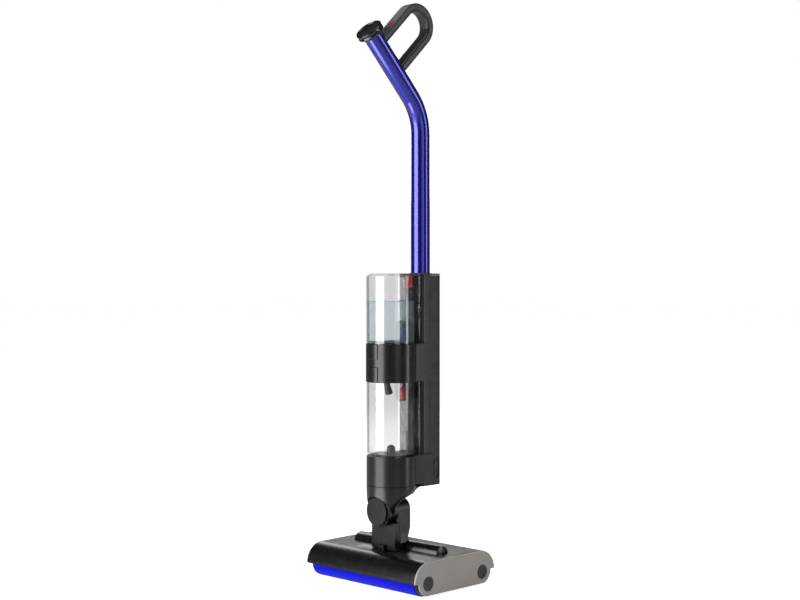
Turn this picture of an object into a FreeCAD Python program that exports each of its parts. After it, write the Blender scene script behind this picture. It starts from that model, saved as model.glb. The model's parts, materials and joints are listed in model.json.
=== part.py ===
import FreeCAD, Part
import Sketcher
import math
import os
import re

# Wet dry floor scrubber. +Z up, -Y the front, +X the end with the grey cap.
# The origin is on the floor under the middle of the floor head.

doc = FreeCAD.newDocument("FloorScrubber")
sheet = doc.addObject("Spreadsheet::Sheet", "Sizes")

# Driving sizes in millimetres and degrees. Each is written once, here.
SIZES = {
    # Floor head
    "head_length": 300,
    "roller_radius": 26,
    "roller_spacing": 152,
    "floor_clearance": 3,
    "end_plate_wall": 3,
    "end_frame_wall": 9,
    "end_cap_wall": 4,
    "cover_gap": 9,
    "cover_setback": 1,
    "cover_lip_rise": 2.5,
    "cover_wall": 3,
    "cover_crown": 0.5,
    "end_foot_reach": 7,
    "chassis_gap": 4,
    "chassis_bottom": 8,
    "chassis_wall": 3,
    "disc_radius": 13.4,
    "disc_sunk": 0.4,
    "disc_depth": 2.4,
    "inlet_length": 120,
    "inlet_half": 22,
    "inlet_depth": 34,
    "inlet_wall": 2.5,
    "inlet_drop": 2,
    "outlet_height": 6,
    "fitting_inset": 6,
    "scraper_drop": 12,
    "scraper_depth": 14,
    "scraper_wall": 3.2,
    "water_bar_depth": 5,
    "water_bar_width": 13,
    "water_bar_gap": 2,
    "latch_width": 18,
    "latch_depth": 7,
    "latch_rise": 9,
    "latch_gap": 1,
    "latch_round": 1.5,
    "head_boss_radius": 5,
    "head_screw_inset": 22,
    "head_screw_wall_gap": 10,
    "head_screw_radius": 1.9,
    "head_screw_length": 30,
    "head_screw_top_radius": 3.6,
    "head_screw_top_height": 2.2,
    "head_screw_hole_radius": 2,
    "head_screw_hole_depth": 36,
    # Rollers and their drives
    "sleeve_round": 1.2,
    "roller_core_radius": 18,
    "core_bore_radius": 16,
    "core_cap_wall": 4,
    "motor_radius": 14,
    "motor_margin": 47,
    "motor_shaft_radius": 4,
    "hub_wall": 10,
    "shaft_reach": 16,
    "shaft_end_gap": 1,
    "bearing_width": 6,
    "bearing_inset": 6,
    # Hinge bar, yoke and swivel
    "bar_axis_drop": 2.5,
    "bar_radius": 17.2,
    "bar_margin": 36,
    "hinge_pin_radius": 2,
    "hinge_block_length": 10,
    "hinge_block_half": 7,
    "hinge_block_rise": 3.2,
    "bush_wall": 2,
    "bush_length": 14,
    "swivel_height": 141.5,
    "block_front": -47,
    "block_back": -29.5,
    "block_half": 31.7,
    "block_top": 120,
    "foot_top_rise": 30,
    "foot_bottom_rise": 6,
    "foot_back": 1.5,
    "lug_half": 20,
    "lug_back": 8.7,
    "swivel_pin_radius": 8,
    "swivel_bush_wall": 3,
    "pin_front": -55,
    "pin_head_radius": 12,
    "pin_head_depth": 4,
    "swivel_gap": 1,
    # Neck and the body of the machine
    "barrel_radius": 25.5,
    "flange_radius": 31,
    "flange_front": -62.5,
    "flange_back": -50,
    "flange_dish_radius": 26,
    "flange_dish_depth": 2.5,
    "neck_cap_sunk": 1,
    "saddle_gap": 2,
    "gusset_inset": 10,
    "tank_radius": 48.5,
    "tank_spine_gap": 3.5,
    "skirt_bottom": 165,
    "base_bottom": 191,
    "base_height": 57.5,
    "base_wall": 3,
    "wing_wall": 3.7,
    "collar_wing_back": 50.5,
    "base_wing_back": 57,
    "spine_half": 33,
    "spine_front": 27,
    "spine_back": 85.5,
    "spine_bottom": 184,
    "spine_front_round": 9,
    "spine_rear_round": 9,
    "spine_wall": 2.6,
    "spine_split": 52,
    "battery_cover_height": 157,
    "recess_rise": 13,
    "recess_height": 42,
    "recess_front": 60,
    "recess_back": 77,
    "recess_depth": 1.4,
    # Tanks and the collar between them
    "dirty_inset": 0.5,
    "dirty_height": 144.5,
    "tank_wall": 2.2,
    "tank_floor": 3,
    "tank_round": 8,
    "collar_proud": 1,
    "collar_height": 75,
    "collar_wall": 3,
    "collar_deck": 5,
    "tab_half": 12,
    "tab_height": 30,
    "tab_proud": 1.6,
    "clean_height": 137.4,
    "riser_radius": 10,
    "riser_height": 18,
    "spout_radius": 7.5,
    "spout_wall": 1.6,
    "spout_length": 25,
    "spout_tilt": 18,
    "spout_place": 5,
    "float_radius": 6,
    "float_height": 30,
    "guide_half": 15,
    "guide_wall": 2,
    "guide_height": 42,
    "guide_gap": 3.2,
    "float_rest": 1,
    "valve_radius": 9,
    "valve_height": 6,
    "valve_flange": 3,
    "valve_flange_wall": 2,
    "filter_radius": 34,
    "filter_height": 26,
    # Drive parts inside the body
    "fan_motor_radius": 26,
    "fan_motor_height": 26,
    "fan_shaft_radius": 3,
    "fan_shaft_gap": 1,
    "fan_gap": 2,
    "fan_radius": 34,
    "fan_hub_radius": 9,
    "fan_height": 9,
    "fan_blade_count": 9,
    "fan_blade_wall": 1.6,
    "inner_gap": 1,
    "battery_half": 22,
    "battery_depth": 20,
    "battery_length": 120,
    "board_half": 24,
    "board_wall": 1.6,
    "board_length": 110,
    "board_inset": 8,
    "board_rise": 14,
    "pump_radius": 11,
    "pump_length": 46,
    "pump_rise": 44,
    "pump_port_radius": 3,
    "pump_port_length": 8,
    "pump_port_place": 6,
    "duct_radius": 9,
    "duct_wall": 1.5,
    "duct_rise": 30,
    # Handle tube, loop handle and display
    "tube_radius": 19,
    "tube_wall": 1.6,
    "tube_axis": 58.3,
    "tube_seat_depth": 60,
    "tube_rise": 322.6,
    "tube_bend_radius": 111,
    "tube_tilt": 44,
    "tube_upper_length": 193.6,
    "grip_wall": 16,
    "grip_width": 28,
    "grip_low": 102.1,
    "grip_high": 172.6,
    "grip_reach": 107,
    "trim_wall": 2,
    "trim_width": 22,
    "trim_gap": 2,
    "display_rim": 8.8,
    "display_flare": 6,
    "display_height": 17,
    "display_round": 2,
    "glass_inset": 3.4,
    "glass_wall": 2,
    "glass_dish": 2.6,
    "glass_sunk": 0.6,
    # Buttons
    "button_length": 12,
    "button_width": 10,
    "button_proud": 1.1,
    "button_depth": 5,
    "button_travel": 1.2,
    "power_button_place": 55,
    "mode_button_place": 41,
    "release_half": 10,
    "release_drop": 28,
    "release_height": 24,
    "release_proud": 2.4,
    "release_depth": 6,
    "release_round": 2,
    "cover_button_radius": 5,
    "cover_button_inset": 21,
    "cover_button_wall_gap": 1,
    "cover_button_depth": 6,
    # Clearances
    "slide_gap": 0.3,
    "run_gap": 0.05,
    "part_gap": 0.3,
    "trough_gap": 0.6,
    "roller_end_gap": 0.5,
    "button_gap": 0.3,
    # How far a cutting solid reaches past the faces that it opens
    "overcut": 1,
}

# Places worked out from the driving sizes.
PLACES = {
    "head_left": "-head_length/2",
    "head_right": "head_length/2",
    "cap_left": "head_right - end_cap_wall",
    "frame_left": "cap_left - end_frame_wall",
    "cover_left": "head_left + end_plate_wall",
    "cover_length": "frame_left - cover_left",
    "cover_centre": "(frame_left + cover_left)/2",
    "roller_axis": "roller_spacing/2",
    "cover_radius": "roller_radius + cover_gap + cover_wall",
    "cover_lip": "roller_radius + cover_lip_rise",
    "end_foot_half": "roller_axis + end_foot_reach",
    "roller_edge": "roller_axis + roller_radius",
    "chassis_half": "roller_axis - roller_radius - chassis_gap",
    "head_screw_x": "head_length/2 - head_screw_inset",
    "head_screw_y": "chassis_half - head_screw_wall_gap",
    "motor_reach": "roller_length - motor_margin",
    "roller_left": "cover_left + roller_end_gap",
    "roller_right": "frame_left - roller_end_gap",
    "roller_length": "roller_right - roller_left",
    "arc_axis": "roller_axis - cover_setback",
    "cover_edge": "arc_axis + cover_radius",
    "cover_top": "cover_lip + cover_radius",
    "crown_top": "cover_top + cover_crown",
    "chassis_top": "cover_top - cover_wall - part_gap",
    "bar_axis_height": "cover_top - bar_axis_drop",
    "bar_length": "head_length - 2*bar_margin",
    "foot_top": "bar_axis_height + foot_top_rise",
    "foot_bottom": "bar_axis_height + foot_bottom_rise",
    "trough_radius": "bar_radius + trough_gap",
    "trough_half": "bar_length/2 + trough_gap",
    "block_end": "trough_half + hinge_block_length",
    "latch_front": "block_front - latch_gap - latch_depth",
    "hinge_pin_left": "-block_end + hinge_block_length/4",
    "hinge_pin_length": "2*block_end - hinge_block_length/2",
    "bush_radius": "hinge_pin_radius + run_gap + bush_wall",
    "hub_right": "frame_left - motor_reach - roller_end_gap",
    "barrel_back": "block_back - swivel_gap",
    "base_top": "base_bottom + base_height",
    "base_radius": "tank_radius",
    "dirty_radius": "tank_radius - dirty_inset",
    "collar_radius": "tank_radius + collar_proud",
    "clean_radius": "tank_radius",
    "wing_half": "spine_half + slide_gap + wing_wall",
    "tank_y": "spine_front - tank_spine_gap - tank_radius",
    "dirty_bottom": "base_top + slide_gap",
    "collar_bottom": "dirty_bottom + dirty_height",
    "collar_top": "collar_bottom + collar_height",
    "clean_bottom": "collar_top + slide_gap",
    "clean_top": "clean_bottom + clean_height",
    "spine_mid": "(spine_front + spine_back)/2",
    "pipe_y": "spine_front + spine_wall + inner_gap + duct_radius + duct_wall",
    "spine_top": "clean_top",
    "battery_cover_top": "spine_bottom + battery_cover_height",
    "recess_bottom": "spine_bottom + recess_rise",
    "recess_top": "recess_bottom + recess_height",
    "release_bottom": "spine_top - release_drop",
    "cover_button_x": "cover_left + cover_button_inset",
    "cover_button_y": "chassis_half - cover_button_radius - cover_button_wall_gap",
    "tube_corner_height": "spine_top + tube_rise",
    "display_radius": "tube_radius + display_rim",
    "display_neck_radius": "tube_radius + display_flare",
    "glass_radius": "display_radius - glass_inset",
    "bend_tangent": "tube_bend_radius*tan(tube_tilt/2)",
    "tube_bottom": "spine_top - tube_seat_depth",
    "grip_axis": "(grip_low + grip_high)/2",
    "grip_bend": "(grip_high - grip_low)/2",
    "grip_face": "grip_high + grip_wall/2",
    "spout_top_place": "spout_place + spout_length*sin(spout_tilt)",
    "guide_y": "tank_y + dirty_radius - tank_wall - float_radius - guide_wall - guide_gap",
}

ORIGIN = ("0", "0", "0")
AXIS_TURNS = {
    "X": FreeCAD.Rotation(FreeCAD.Vector(0, 1, 0), 90),
    "Y": FreeCAD.Rotation(FreeCAD.Vector(1, 0, 0), -90),
    "Z": FreeCAD.Rotation(),
}
HALF_TURN = FreeCAD.Rotation(FreeCAD.Vector(0, 0, 1), 180)
# Two lengths closer than this are the same.
TOUCH = 0.01
parts = []


def fill_sheet():
    for row, (alias, number) in enumerate(SIZES.items(), start=1):
        sheet.set("A%d" % row, alias)
        sheet.set("B%d" % row, str(number))
        sheet.setAlias("B%d" % row, alias)
    doc.recompute()


def bound(text):
    """The text as a document expression, with sizes and places spelled out."""
    def spelled(match):
        word = match.group()
        if word in SIZES:
            return "Sizes." + word
        if word in PLACES:
            return "(" + bound(PLACES[word]) + ")"
        return word
    return re.sub(r"[A-Za-z_]\w*", spelled, str(text))


def value(text):
    """The number that a size, place or formula of them has now."""
    result = sheet.evalExpression(bound(text))
    return float(getattr(result, "Value", result))


def bind(thing, **formulas):
    for name, text in formulas.items():
        thing.setExpression(name, bound(text))
    return thing


def place(thing, at, turn=FreeCAD.Rotation()):
    thing.Placement = FreeCAD.Placement(FreeCAD.Vector(), turn)
    for letter, text in zip("xyz", at):
        thing.setExpression("Placement.Base." + letter, bound(text))
    return thing


def part(label, thing):
    """Gives a finished sub-part the name of its file."""
    thing.Label = label
    parts.append(thing)
    return thing


# Solids from primitives

def box(corner, size):
    thing = doc.addObject("Part::Box", "Box")
    bind(thing, Length=size[0], Width=size[1], Height=size[2])
    return place(thing, corner)


def box_between(low, high):
    size = ["(%s) - (%s)" % (top, bottom) for bottom, top in zip(low, high)]
    return box(low, size)


def cylinder(radius, length, at, axis="Z"):
    thing = doc.addObject("Part::Cylinder", "Cylinder")
    bind(thing, Radius=radius, Height=length)
    return place(thing, at, AXIS_TURNS[axis])


def fuse(*things):
    result = doc.addObject("Part::MultiFuse", "Fusion")
    result.Shapes = list(things)
    return result


def cut(base, *tools):
    result = doc.addObject("Part::Cut", "Cut")
    result.Base = base
    result.Tool = tools[0] if len(tools) == 1 else fuse(*tools)
    return result


def common(base, tool):
    result = doc.addObject("Part::Common", "Common")
    result.Base = base
    result.Tool = tool
    return result


def group(*things):
    """Separate solids that share one node."""
    result = doc.addObject("Part::Compound", "Compound")
    result.Links = list(things)
    return result


def ring(inner, outer, length, at, axis="Z"):
    return cut(cylinder(outer, length, at, axis), cylinder(inner, length, at, axis))


# Solids from sketches

def side_arc(start, end, radius):
    """The arc from start to end. A negative radius runs it clockwise."""
    if radius < 0:
        return side_arc(end, start, -radius)
    chord = end - start
    left = FreeCAD.Vector(-chord.y, chord.x, 0).normalize()
    rise = math.sqrt(max(radius**2 - (chord.Length/2)**2, 0))
    centre = start + chord*0.5 + left*rise
    circle = Part.Circle(centre, FreeCAD.Vector(0, 0, 1), radius)
    angles = [math.atan2(point.y - centre.y, point.x - centre.x) for point in (start, end)]
    if angles[1] < angles[0]:
        angles[1] += 2*math.pi
    return Part.ArcOfCircle(circle, angles[0], angles[1])


def outline(parent, plane, corners):
    """A closed sketch. A corner is (x, y), or (x, y, radius) where an arc follows it."""
    sketch = parent.newObject("Sketcher::SketchObject", "Sketch")
    roles = {feature.Role: feature for feature in parent.Origin.OriginFeatures}
    sketch.AttachmentSupport = [(roles[plane + "_Plane"], "")]
    sketch.MapMode = "FlatFace"
    points = [FreeCAD.Vector(value(corner[0]), value(corner[1]), 0) for corner in corners]
    starts = []
    for index, corner in enumerate(corners):
        start = points[index]
        end = points[(index + 1) % len(points)]
        if len(corner) == 2:
            sketch.addGeometry(Part.LineSegment(start, end), False)
            starts.append(1)
            continue
        radius = value(corner[2])
        side = sketch.addGeometry(side_arc(start, end, radius), False)
        starts.append(1 if radius > 0 else 2)
        size = sketch.addConstraint(Sketcher.Constraint("Radius", side, abs(radius)))
        sketch.setExpression("Constraints[%d]" % size, bound("abs(%s)" % corner[2]))
    for index, corner in enumerate(corners):
        before = index - 1 if index else len(corners) - 1
        sketch.addConstraint(Sketcher.Constraint(
            "Coincident", before, 3 - starts[before], index, starts[index]))
        for kind, text in zip(("DistanceX", "DistanceY"), corner):
            size = sketch.addConstraint(Sketcher.Constraint(
                kind, -1, 1, index, starts[index], value(text)))
            sketch.setExpression("Constraints[%d]" % size, bound(text))
    return sketch


def padded(plane, corners, length, at=ORIGIN, turn=FreeCAD.Rotation()):
    """A body padded both ways from one of its planes."""
    body = doc.addObject("PartDesign::Body", "Body")
    profile = outline(body, plane, corners)
    pad = body.newObject("PartDesign::Pad", "Pad")
    pad.Profile = profile
    pad.SideType = "Symmetric"
    bind(pad, Length=length)
    body.Tip = pad
    return place(body, at, turn)


def turned(corners, at=ORIGIN, axis="Z"):
    """A body revolved about an axis. Its corners are (radius, height) pairs."""
    body = doc.addObject("PartDesign::Body", "Body")
    profile = outline(body, "XZ", corners)
    revolution = body.newObject("PartDesign::Revolution", "Revolution")
    revolution.Profile = profile
    revolution.ReferenceAxis = (profile, ["V_Axis"])
    revolution.Angle = 360
    body.Tip = revolution
    return place(body, at, AXIS_TURNS[axis])


def rounded(base, radius, wanted):
    """Rounds the edges of a solid that the test wanted picks."""
    doc.recompute()
    result = doc.addObject("Part::Fillet", "Fillet")
    result.Base = base
    size = value(radius)
    chosen = [index for index, edge in enumerate(base.Shape.Edges, start=1) if wanted(edge)]
    result.Edges = [(index, size, size) for index in chosen]
    return result


fill_sheet()


# Floor head

def cover_half(turn=FreeCAD.Rotation()):
    """The rear half of the shell over the rollers, or the front half with a half turn."""
    inner = "cover_wall - cover_radius"
    corners = [
        ("part_gap/2", "cover_top - cover_wall"),
        ("arc_axis", "cover_top - cover_wall", inner),
        ("cover_edge - cover_wall", "cover_lip"),
        ("cover_edge", "cover_lip", "cover_radius"),
        ("arc_axis", "cover_top"),
        ("part_gap/2", "crown_top"),
    ]
    return padded("YZ", corners, "cover_length", ("cover_centre", "0", "0"), turn)


def hinge_trough():
    """The room that the hinge bar turns in."""
    return cylinder("trough_radius", "2*trough_half", ("-trough_half", "0", "bar_axis_height"), "X")


def hinge_block(side, gap="0"):
    """One of the two blocks that hold the ends of the hinge pin."""
    low = "trough_half - %s" % gap if side > 0 else "-block_end - %s" % gap
    top = "chassis_top + hinge_block_rise + %s" % gap
    size = ("hinge_block_length + 2*%s" % gap, "2*hinge_block_half + 2*%s" % gap,
            "%s - chassis_bottom" % top)
    return box((low, "-hinge_block_half - %s" % gap, "chassis_bottom"), size)


def covers():
    cuts = [hinge_trough(), hinge_block(1, "part_gap"), hinge_block(-1, "part_gap")]
    latch_room = box(("-latch_width/2", "latch_front", "0"),
                     ("latch_width", "latch_depth", "crown_top + overcut"))
    button_room = cylinder("cover_button_radius + button_gap", "crown_top",
                           ("cover_button_x", "cover_button_y", "chassis_top"))
    part("front_cover", cut(cover_half(HALF_TURN), *cuts, latch_room))
    part("rear_cover", cut(cover_half(), *cuts, button_room))


def head_screw_places():
    for across in ("head_screw_x", "-head_screw_x"):
        for along in ("head_screw_y", "-head_screw_y"):
            yield across, along


def head_chassis():
    length = "frame_left - cover_left"
    outer = box(("cover_left", "-chassis_half", "chassis_bottom"),
                (length, "2*chassis_half", "chassis_top - chassis_bottom"))
    inner = box(("cover_left + chassis_wall", "-chassis_half + chassis_wall", "0"),
                (length + " - 2*chassis_wall", "2*(chassis_half - chassis_wall)",
                 "chassis_top - chassis_wall"))
    trough_wall = common(
        cylinder("trough_radius + chassis_wall", "2*trough_half + 2*chassis_wall",
                 ("-trough_half - chassis_wall", "0", "bar_axis_height"), "X"),
        box(("cover_left", "-chassis_half", "chassis_bottom"),
            (length, "2*chassis_half", "chassis_top - chassis_bottom")))
    bosses = [cylinder("head_boss_radius", "chassis_top - chassis_bottom - part_gap",
                       (across, along, "chassis_bottom"))
              for across, along in head_screw_places()]
    body = fuse(cut(outer, inner), trough_wall, hinge_block(1), hinge_block(-1), *bosses)
    pin_hole = cylinder("hinge_pin_radius", "hinge_pin_length",
                        ("hinge_pin_left", "0", "bar_axis_height"), "X")
    screw_holes = [cylinder("head_screw_hole_radius", "head_screw_hole_depth",
                            (across, along, "chassis_bottom"))
                   for across, along in head_screw_places()]
    button_room = cylinder("cover_button_radius + button_gap", "cover_button_depth + chassis_wall",
                           ("cover_button_x", "cover_button_y", "chassis_top - cover_button_depth"))
    part("head_chassis", cut(body, hinge_trough(), pin_hole, button_room, *screw_holes))


def end_corners():
    """The outline of the end pieces: covers above, roller ends and feet below."""
    half = [
        ("end_foot_half", "floor_clearance", "roller_radius"),
        ("roller_edge", "cover_lip"),
        ("cover_edge", "cover_lip", "cover_radius"),
        ("arc_axis", "cover_top"),
    ]
    mirrored = [
        ("-arc_axis", "cover_top", "cover_radius"),
        ("-cover_edge", "cover_lip"),
        ("-(roller_edge)", "cover_lip", "roller_radius"),
        ("-end_foot_half", "floor_clearance"),
    ]
    return half + [("0", "crown_top")] + mirrored


def end_pieces():
    upper = [
        ("cover_edge", "cover_lip", "cover_radius"),
        ("arc_axis", "cover_top"),
        ("0", "crown_top"),
        ("-arc_axis", "cover_top", "cover_radius"),
        ("-cover_edge", "cover_lip"),
    ]
    part("left_end_plate", padded("YZ", upper, "end_plate_wall", ("head_left + end_plate_wall/2", "0", "0")))
    frame = padded("YZ", end_corners(), "end_frame_wall", ("frame_left + end_frame_wall/2", "0", "0"))
    part("right_end_frame", frame)
    cap = padded("YZ", end_corners(), "end_cap_wall", ("cap_left + end_cap_wall/2", "0", "0"))
    seat = "head_right - disc_sunk - disc_depth"
    rooms = [cylinder("disc_radius + run_gap", "disc_depth + 2*disc_sunk", (seat, y, "roller_radius"), "X")
             for y in ("roller_axis", "-roller_axis")]
    part("right_end_cap", cut(cap, *rooms))
    discs = [cylinder("disc_radius", "disc_depth", (seat, y, "roller_radius"), "X")
             for y in ("roller_axis", "-roller_axis")]
    part("roller_end_discs", group(*discs))


def suction_inlet():
    outer = box(("-inlet_length/2", "-inlet_half", "chassis_bottom - inlet_drop"),
                ("inlet_length", "2*inlet_half", "inlet_depth"))
    inner = box(("-inlet_length/2 + inlet_wall", "-inlet_half + inlet_wall", "0"),
                ("inlet_length - 2*inlet_wall", "2*(inlet_half - inlet_wall)",
                 "chassis_bottom - inlet_drop + inlet_depth - inlet_wall"))
    outlet_place = ("inlet_length/4", "0", "chassis_bottom + inlet_depth - outlet_height")
    outlet = cylinder("duct_radius + duct_wall", "outlet_height", outlet_place)
    bore = cylinder("duct_radius", "2*outlet_height", outlet_place)
    part("suction_inlet", cut(fuse(outer, outlet), inner, bore))


def head_fittings():
    scrapers = []
    water_bars = []
    for side in (1, -1):
        y = "chassis_half" if side > 0 else "-chassis_half - scraper_wall"
        scrapers.append(box(("cover_left + fitting_inset", y, "roller_radius - scraper_drop"),
                            ("cover_length - 2*fitting_inset", "scraper_wall", "scraper_depth")))
        y = "chassis_half" if side > 0 else "-chassis_half - water_bar_width"
        water_bars.append(box(
            ("cover_left + fitting_inset", y, "chassis_top - water_bar_depth - water_bar_gap"),
            ("cover_length - 2*fitting_inset", "water_bar_width", "water_bar_depth")))
    part("roller_scrapers", group(*scrapers))
    part("water_bars", group(*water_bars))
    latch = box(("-latch_width/2", "latch_front", "chassis_top"),
                ("latch_width", "latch_depth", "cover_wall + latch_rise"))
    part("cover_latch", rounded(
        latch, "latch_round", lambda edge: edge.CenterOfMass.z > value("crown_top + latch_gap")))
    screws = []
    for across, along in head_screw_places():
        screws.append(fuse(
            cylinder("head_screw_radius", "head_screw_length", (across, along, "chassis_bottom")),
            cylinder("head_screw_top_radius", "head_screw_top_height",
                     (across, along, "chassis_bottom - head_screw_top_height"))))
    part("head_screws", group(*screws))
    part("cover_release_button", cylinder(
        "cover_button_radius", "cover_button_depth - 2*button_travel + cover_wall",
        ("cover_button_x", "cover_button_y", "chassis_top - cover_button_depth + 2*button_travel")))


# Rollers. Each has its gear motor inside, fixed to the right end frame.

def roller(name, y):
    def at(x):
        return (x, y, "roller_radius")
    sleeve = cut(cylinder("roller_radius", "roller_length", at("roller_left"), "X"),
                 cylinder("roller_core_radius", "roller_length", at("roller_left"), "X"))
    part(name + "_roller_sleeve", rounded(
        sleeve, "sleeve_round", lambda edge: abs(edge.Length - 2*math.pi*value("roller_radius")) < TOUCH))
    core = turned([
        ("0", "0"), ("roller_core_radius", "0"), ("roller_core_radius", "roller_length"),
        ("core_bore_radius", "roller_length"), ("core_bore_radius", "core_cap_wall"),
        ("0", "core_cap_wall"),
    ], at("roller_left"), "X")
    part(name + "_roller_core", core)
    hub = turned([
        ("0", "0"), ("core_bore_radius", "0"), ("core_bore_radius", "hub_wall"),
        ("motor_shaft_radius", "hub_wall"), ("motor_shaft_radius", "hub_wall + shaft_reach"),
        ("0", "hub_wall + shaft_reach"),
    ], at("hub_right - hub_wall"), "X")
    part(name + "_drive_hub", hub)


def roller_drives():
    """The two gear motors, and the pair of bearings on each that its roller turns on."""
    shaft_hole = "shaft_reach + shaft_end_gap"
    motors = []
    bearings = []
    for y in ("-roller_axis", "roller_axis"):
        motors.append(turned([
            ("motor_shaft_radius + run_gap", "0"), ("motor_radius", "0"),
            ("motor_radius", "motor_reach"), ("0", "motor_reach"),
            ("0", shaft_hole), ("motor_shaft_radius + run_gap", shaft_hole),
        ], ("frame_left - motor_reach", y, "roller_radius"), "X"))
        for x in ("frame_left - motor_reach + bearing_inset", "roller_right - bearing_inset - bearing_width"):
            bearings.append(ring("motor_radius", "core_bore_radius - run_gap", "bearing_width",
                                 (x, y, "roller_radius"), "X"))
    part("roller_motors", group(*motors))
    part("roller_bearings", group(*bearings))


def floor_head():
    covers()
    head_chassis()
    end_pieces()
    suction_inlet()
    head_fittings()
    roller("front", "-roller_axis")
    roller("rear", "roller_axis")
    roller_drives()


# Hinge bar and yoke

def hinge_bar():
    bar = cylinder("bar_radius", "bar_length", ("-bar_length/2", "0", "bar_axis_height"), "X")
    bore = cylinder("hinge_pin_radius + run_gap", "bar_length",
                    ("-bar_length/2", "0", "bar_axis_height"), "X")
    ends = [(x, "0", "bar_axis_height") for x in ("-bar_length/2", "bar_length/2 - bush_length")]
    seats = [cylinder("bush_radius", "bush_length", end, "X") for end in ends]
    part("cross_bar", cut(bar, bore, *seats))
    bushes = [ring("hinge_pin_radius + run_gap", "bush_radius", "bush_length", end, "X") for end in ends]
    part("hinge_bushes", group(*bushes))
    part("hinge_pin", cylinder(
        "hinge_pin_radius", "hinge_pin_length", ("hinge_pin_left", "0", "bar_axis_height"), "X"))


def swivel_cylinder(radius, front, back):
    """A cylinder about the axis that the neck swivels on."""
    return cylinder(radius, "%s - (%s)" % (back, front), ("0", front, "swivel_height"), "Y")


def yoke():
    """A block with a saddle under the neck barrel, and a lug behind it that holds the swivel pin."""
    block = box_between(("-block_half", "block_front", "foot_bottom"),
                        ("block_half", "block_back", "block_top"))
    saddle = swivel_cylinder("barrel_radius + saddle_gap", "block_front - overcut", "block_back + overcut")
    stem = box_between(("-lug_half", "block_back", "foot_top"), ("lug_half", "lug_back", "swivel_height"))
    eye = swivel_cylinder("lug_half", "block_back", "lug_back")
    foot = box_between(("-block_half", "block_front", "foot_bottom"),
                       ("block_half", "foot_back", "foot_top"))
    bar_room = cylinder("bar_radius", "bar_length", ("-bar_length/2", "0", "bar_axis_height"), "X")
    pin_hole = swivel_cylinder("swivel_pin_radius", "block_back - overcut", "lug_back + overcut")
    part("yoke", cut(fuse(cut(block, saddle), stem, eye, foot), bar_room, pin_hole))
    part("swivel_pin", fuse(
        swivel_cylinder("swivel_pin_radius", "pin_front", "lug_back"),
        swivel_cylinder("pin_head_radius", "pin_front - pin_head_depth", "pin_front")))


# Neck and body

def neck():
    """The housing that turns on the swivel pin and carries the body of the machine."""
    flange = swivel_cylinder("flange_radius", "flange_front", "flange_back")
    barrel = swivel_cylinder("barrel_radius", "flange_back", "barrel_back")
    skirt = cylinder("base_radius", "base_bottom - skirt_bottom", ("0", "tank_y", "skirt_bottom"))
    column = box_between(("-barrel_radius", "flange_front", "swivel_height"),
                         ("barrel_radius", "barrel_back", "skirt_bottom + overcut"))
    gusset = box_between(("-spine_half/2", "0", "skirt_bottom + base_wall"),
                         ("spine_half/2", "spine_mid - gusset_inset", "spine_bottom"))
    hollow = cylinder("base_radius - base_wall", "base_bottom - skirt_bottom",
                      ("0", "tank_y", "skirt_bottom + base_wall"))
    bush_outside = "swivel_pin_radius + run_gap + swivel_bush_wall"
    bore = swivel_cylinder(bush_outside, "flange_front", "block_back")
    head_room = swivel_cylinder("pin_head_radius + part_gap", "flange_front", "pin_front + part_gap")
    dish = swivel_cylinder("flange_dish_radius", "flange_front", "flange_front + flange_dish_depth")
    part("neck_housing", cut(fuse(flange, barrel, skirt, column, gusset), hollow, bore, head_room, dish))
    part("neck_cap", swivel_cylinder(
        "flange_dish_radius - run_gap", "flange_front + neck_cap_sunk", "flange_front + flange_dish_depth"))
    part("swivel_bush", ring("swivel_pin_radius + run_gap", bush_outside,
                             "barrel_back - pin_front - part_gap",
                             ("0", "pin_front + part_gap", "swivel_height"), "Y"))


def drum(radius, bottom, height, wing_back):
    """A round drum with flat wings that reach back along the sides of the spine."""
    round_part = cylinder(radius, height, ("0", "tank_y", bottom))
    wings = box(("-wing_half", "tank_y", bottom), ("2*wing_half", "%s - tank_y" % wing_back, height))
    slot = box(("-spine_half - slide_gap", "spine_front - slide_gap", bottom),
               ("2*(spine_half + slide_gap)", "spine_back", height))
    return cut(fuse(round_part, wings), slot)


def base_housing():
    hollow = cylinder("base_radius - base_wall", "base_height - base_wall", ("0", "tank_y", "base_bottom"))
    part("base_housing", cut(
        drum("base_radius", "base_bottom", "base_height", "base_wing_back"), hollow))


def suction_fan():
    floor = "skirt_bottom + base_wall"
    shaft_depth = "fan_motor_height/2"
    motor = turned([
        ("0", "0"), ("fan_motor_radius", "0"), ("fan_motor_radius", "fan_motor_height"),
        ("fan_shaft_radius + run_gap", "fan_motor_height"),
        ("fan_shaft_radius + run_gap", shaft_depth), ("0", shaft_depth),
    ], ("0", "tank_y", floor))
    part("suction_motor", motor)
    shaft_bottom = floor + " + fan_motor_height/2 + fan_shaft_gap"
    disc_bottom = floor + " + fan_motor_height + fan_gap"
    shapes = [
        cylinder("fan_shaft_radius", "fan_motor_height/2 + fan_shaft_gap", ("0", "tank_y", shaft_bottom)),
        cylinder("fan_radius", "fan_blade_wall", ("0", "tank_y", disc_bottom)),
        cylinder("fan_hub_radius", "fan_height", ("0", "tank_y", disc_bottom)),
    ]
    for index in range(SIZES["fan_blade_count"]):
        angle = 360.0/SIZES["fan_blade_count"]*index
        blade = box(ORIGIN, ("fan_radius - fan_blade_wall", "fan_blade_wall", "fan_height"))
        at = ("fan_blade_wall/2*sin(%g)" % angle, "tank_y - fan_blade_wall/2*cos(%g)" % angle, disc_bottom)
        shapes.append(place(blade, at, FreeCAD.Rotation(FreeCAD.Vector(0, 0, 1), angle)))
    part("suction_fan", fuse(*shapes))


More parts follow.
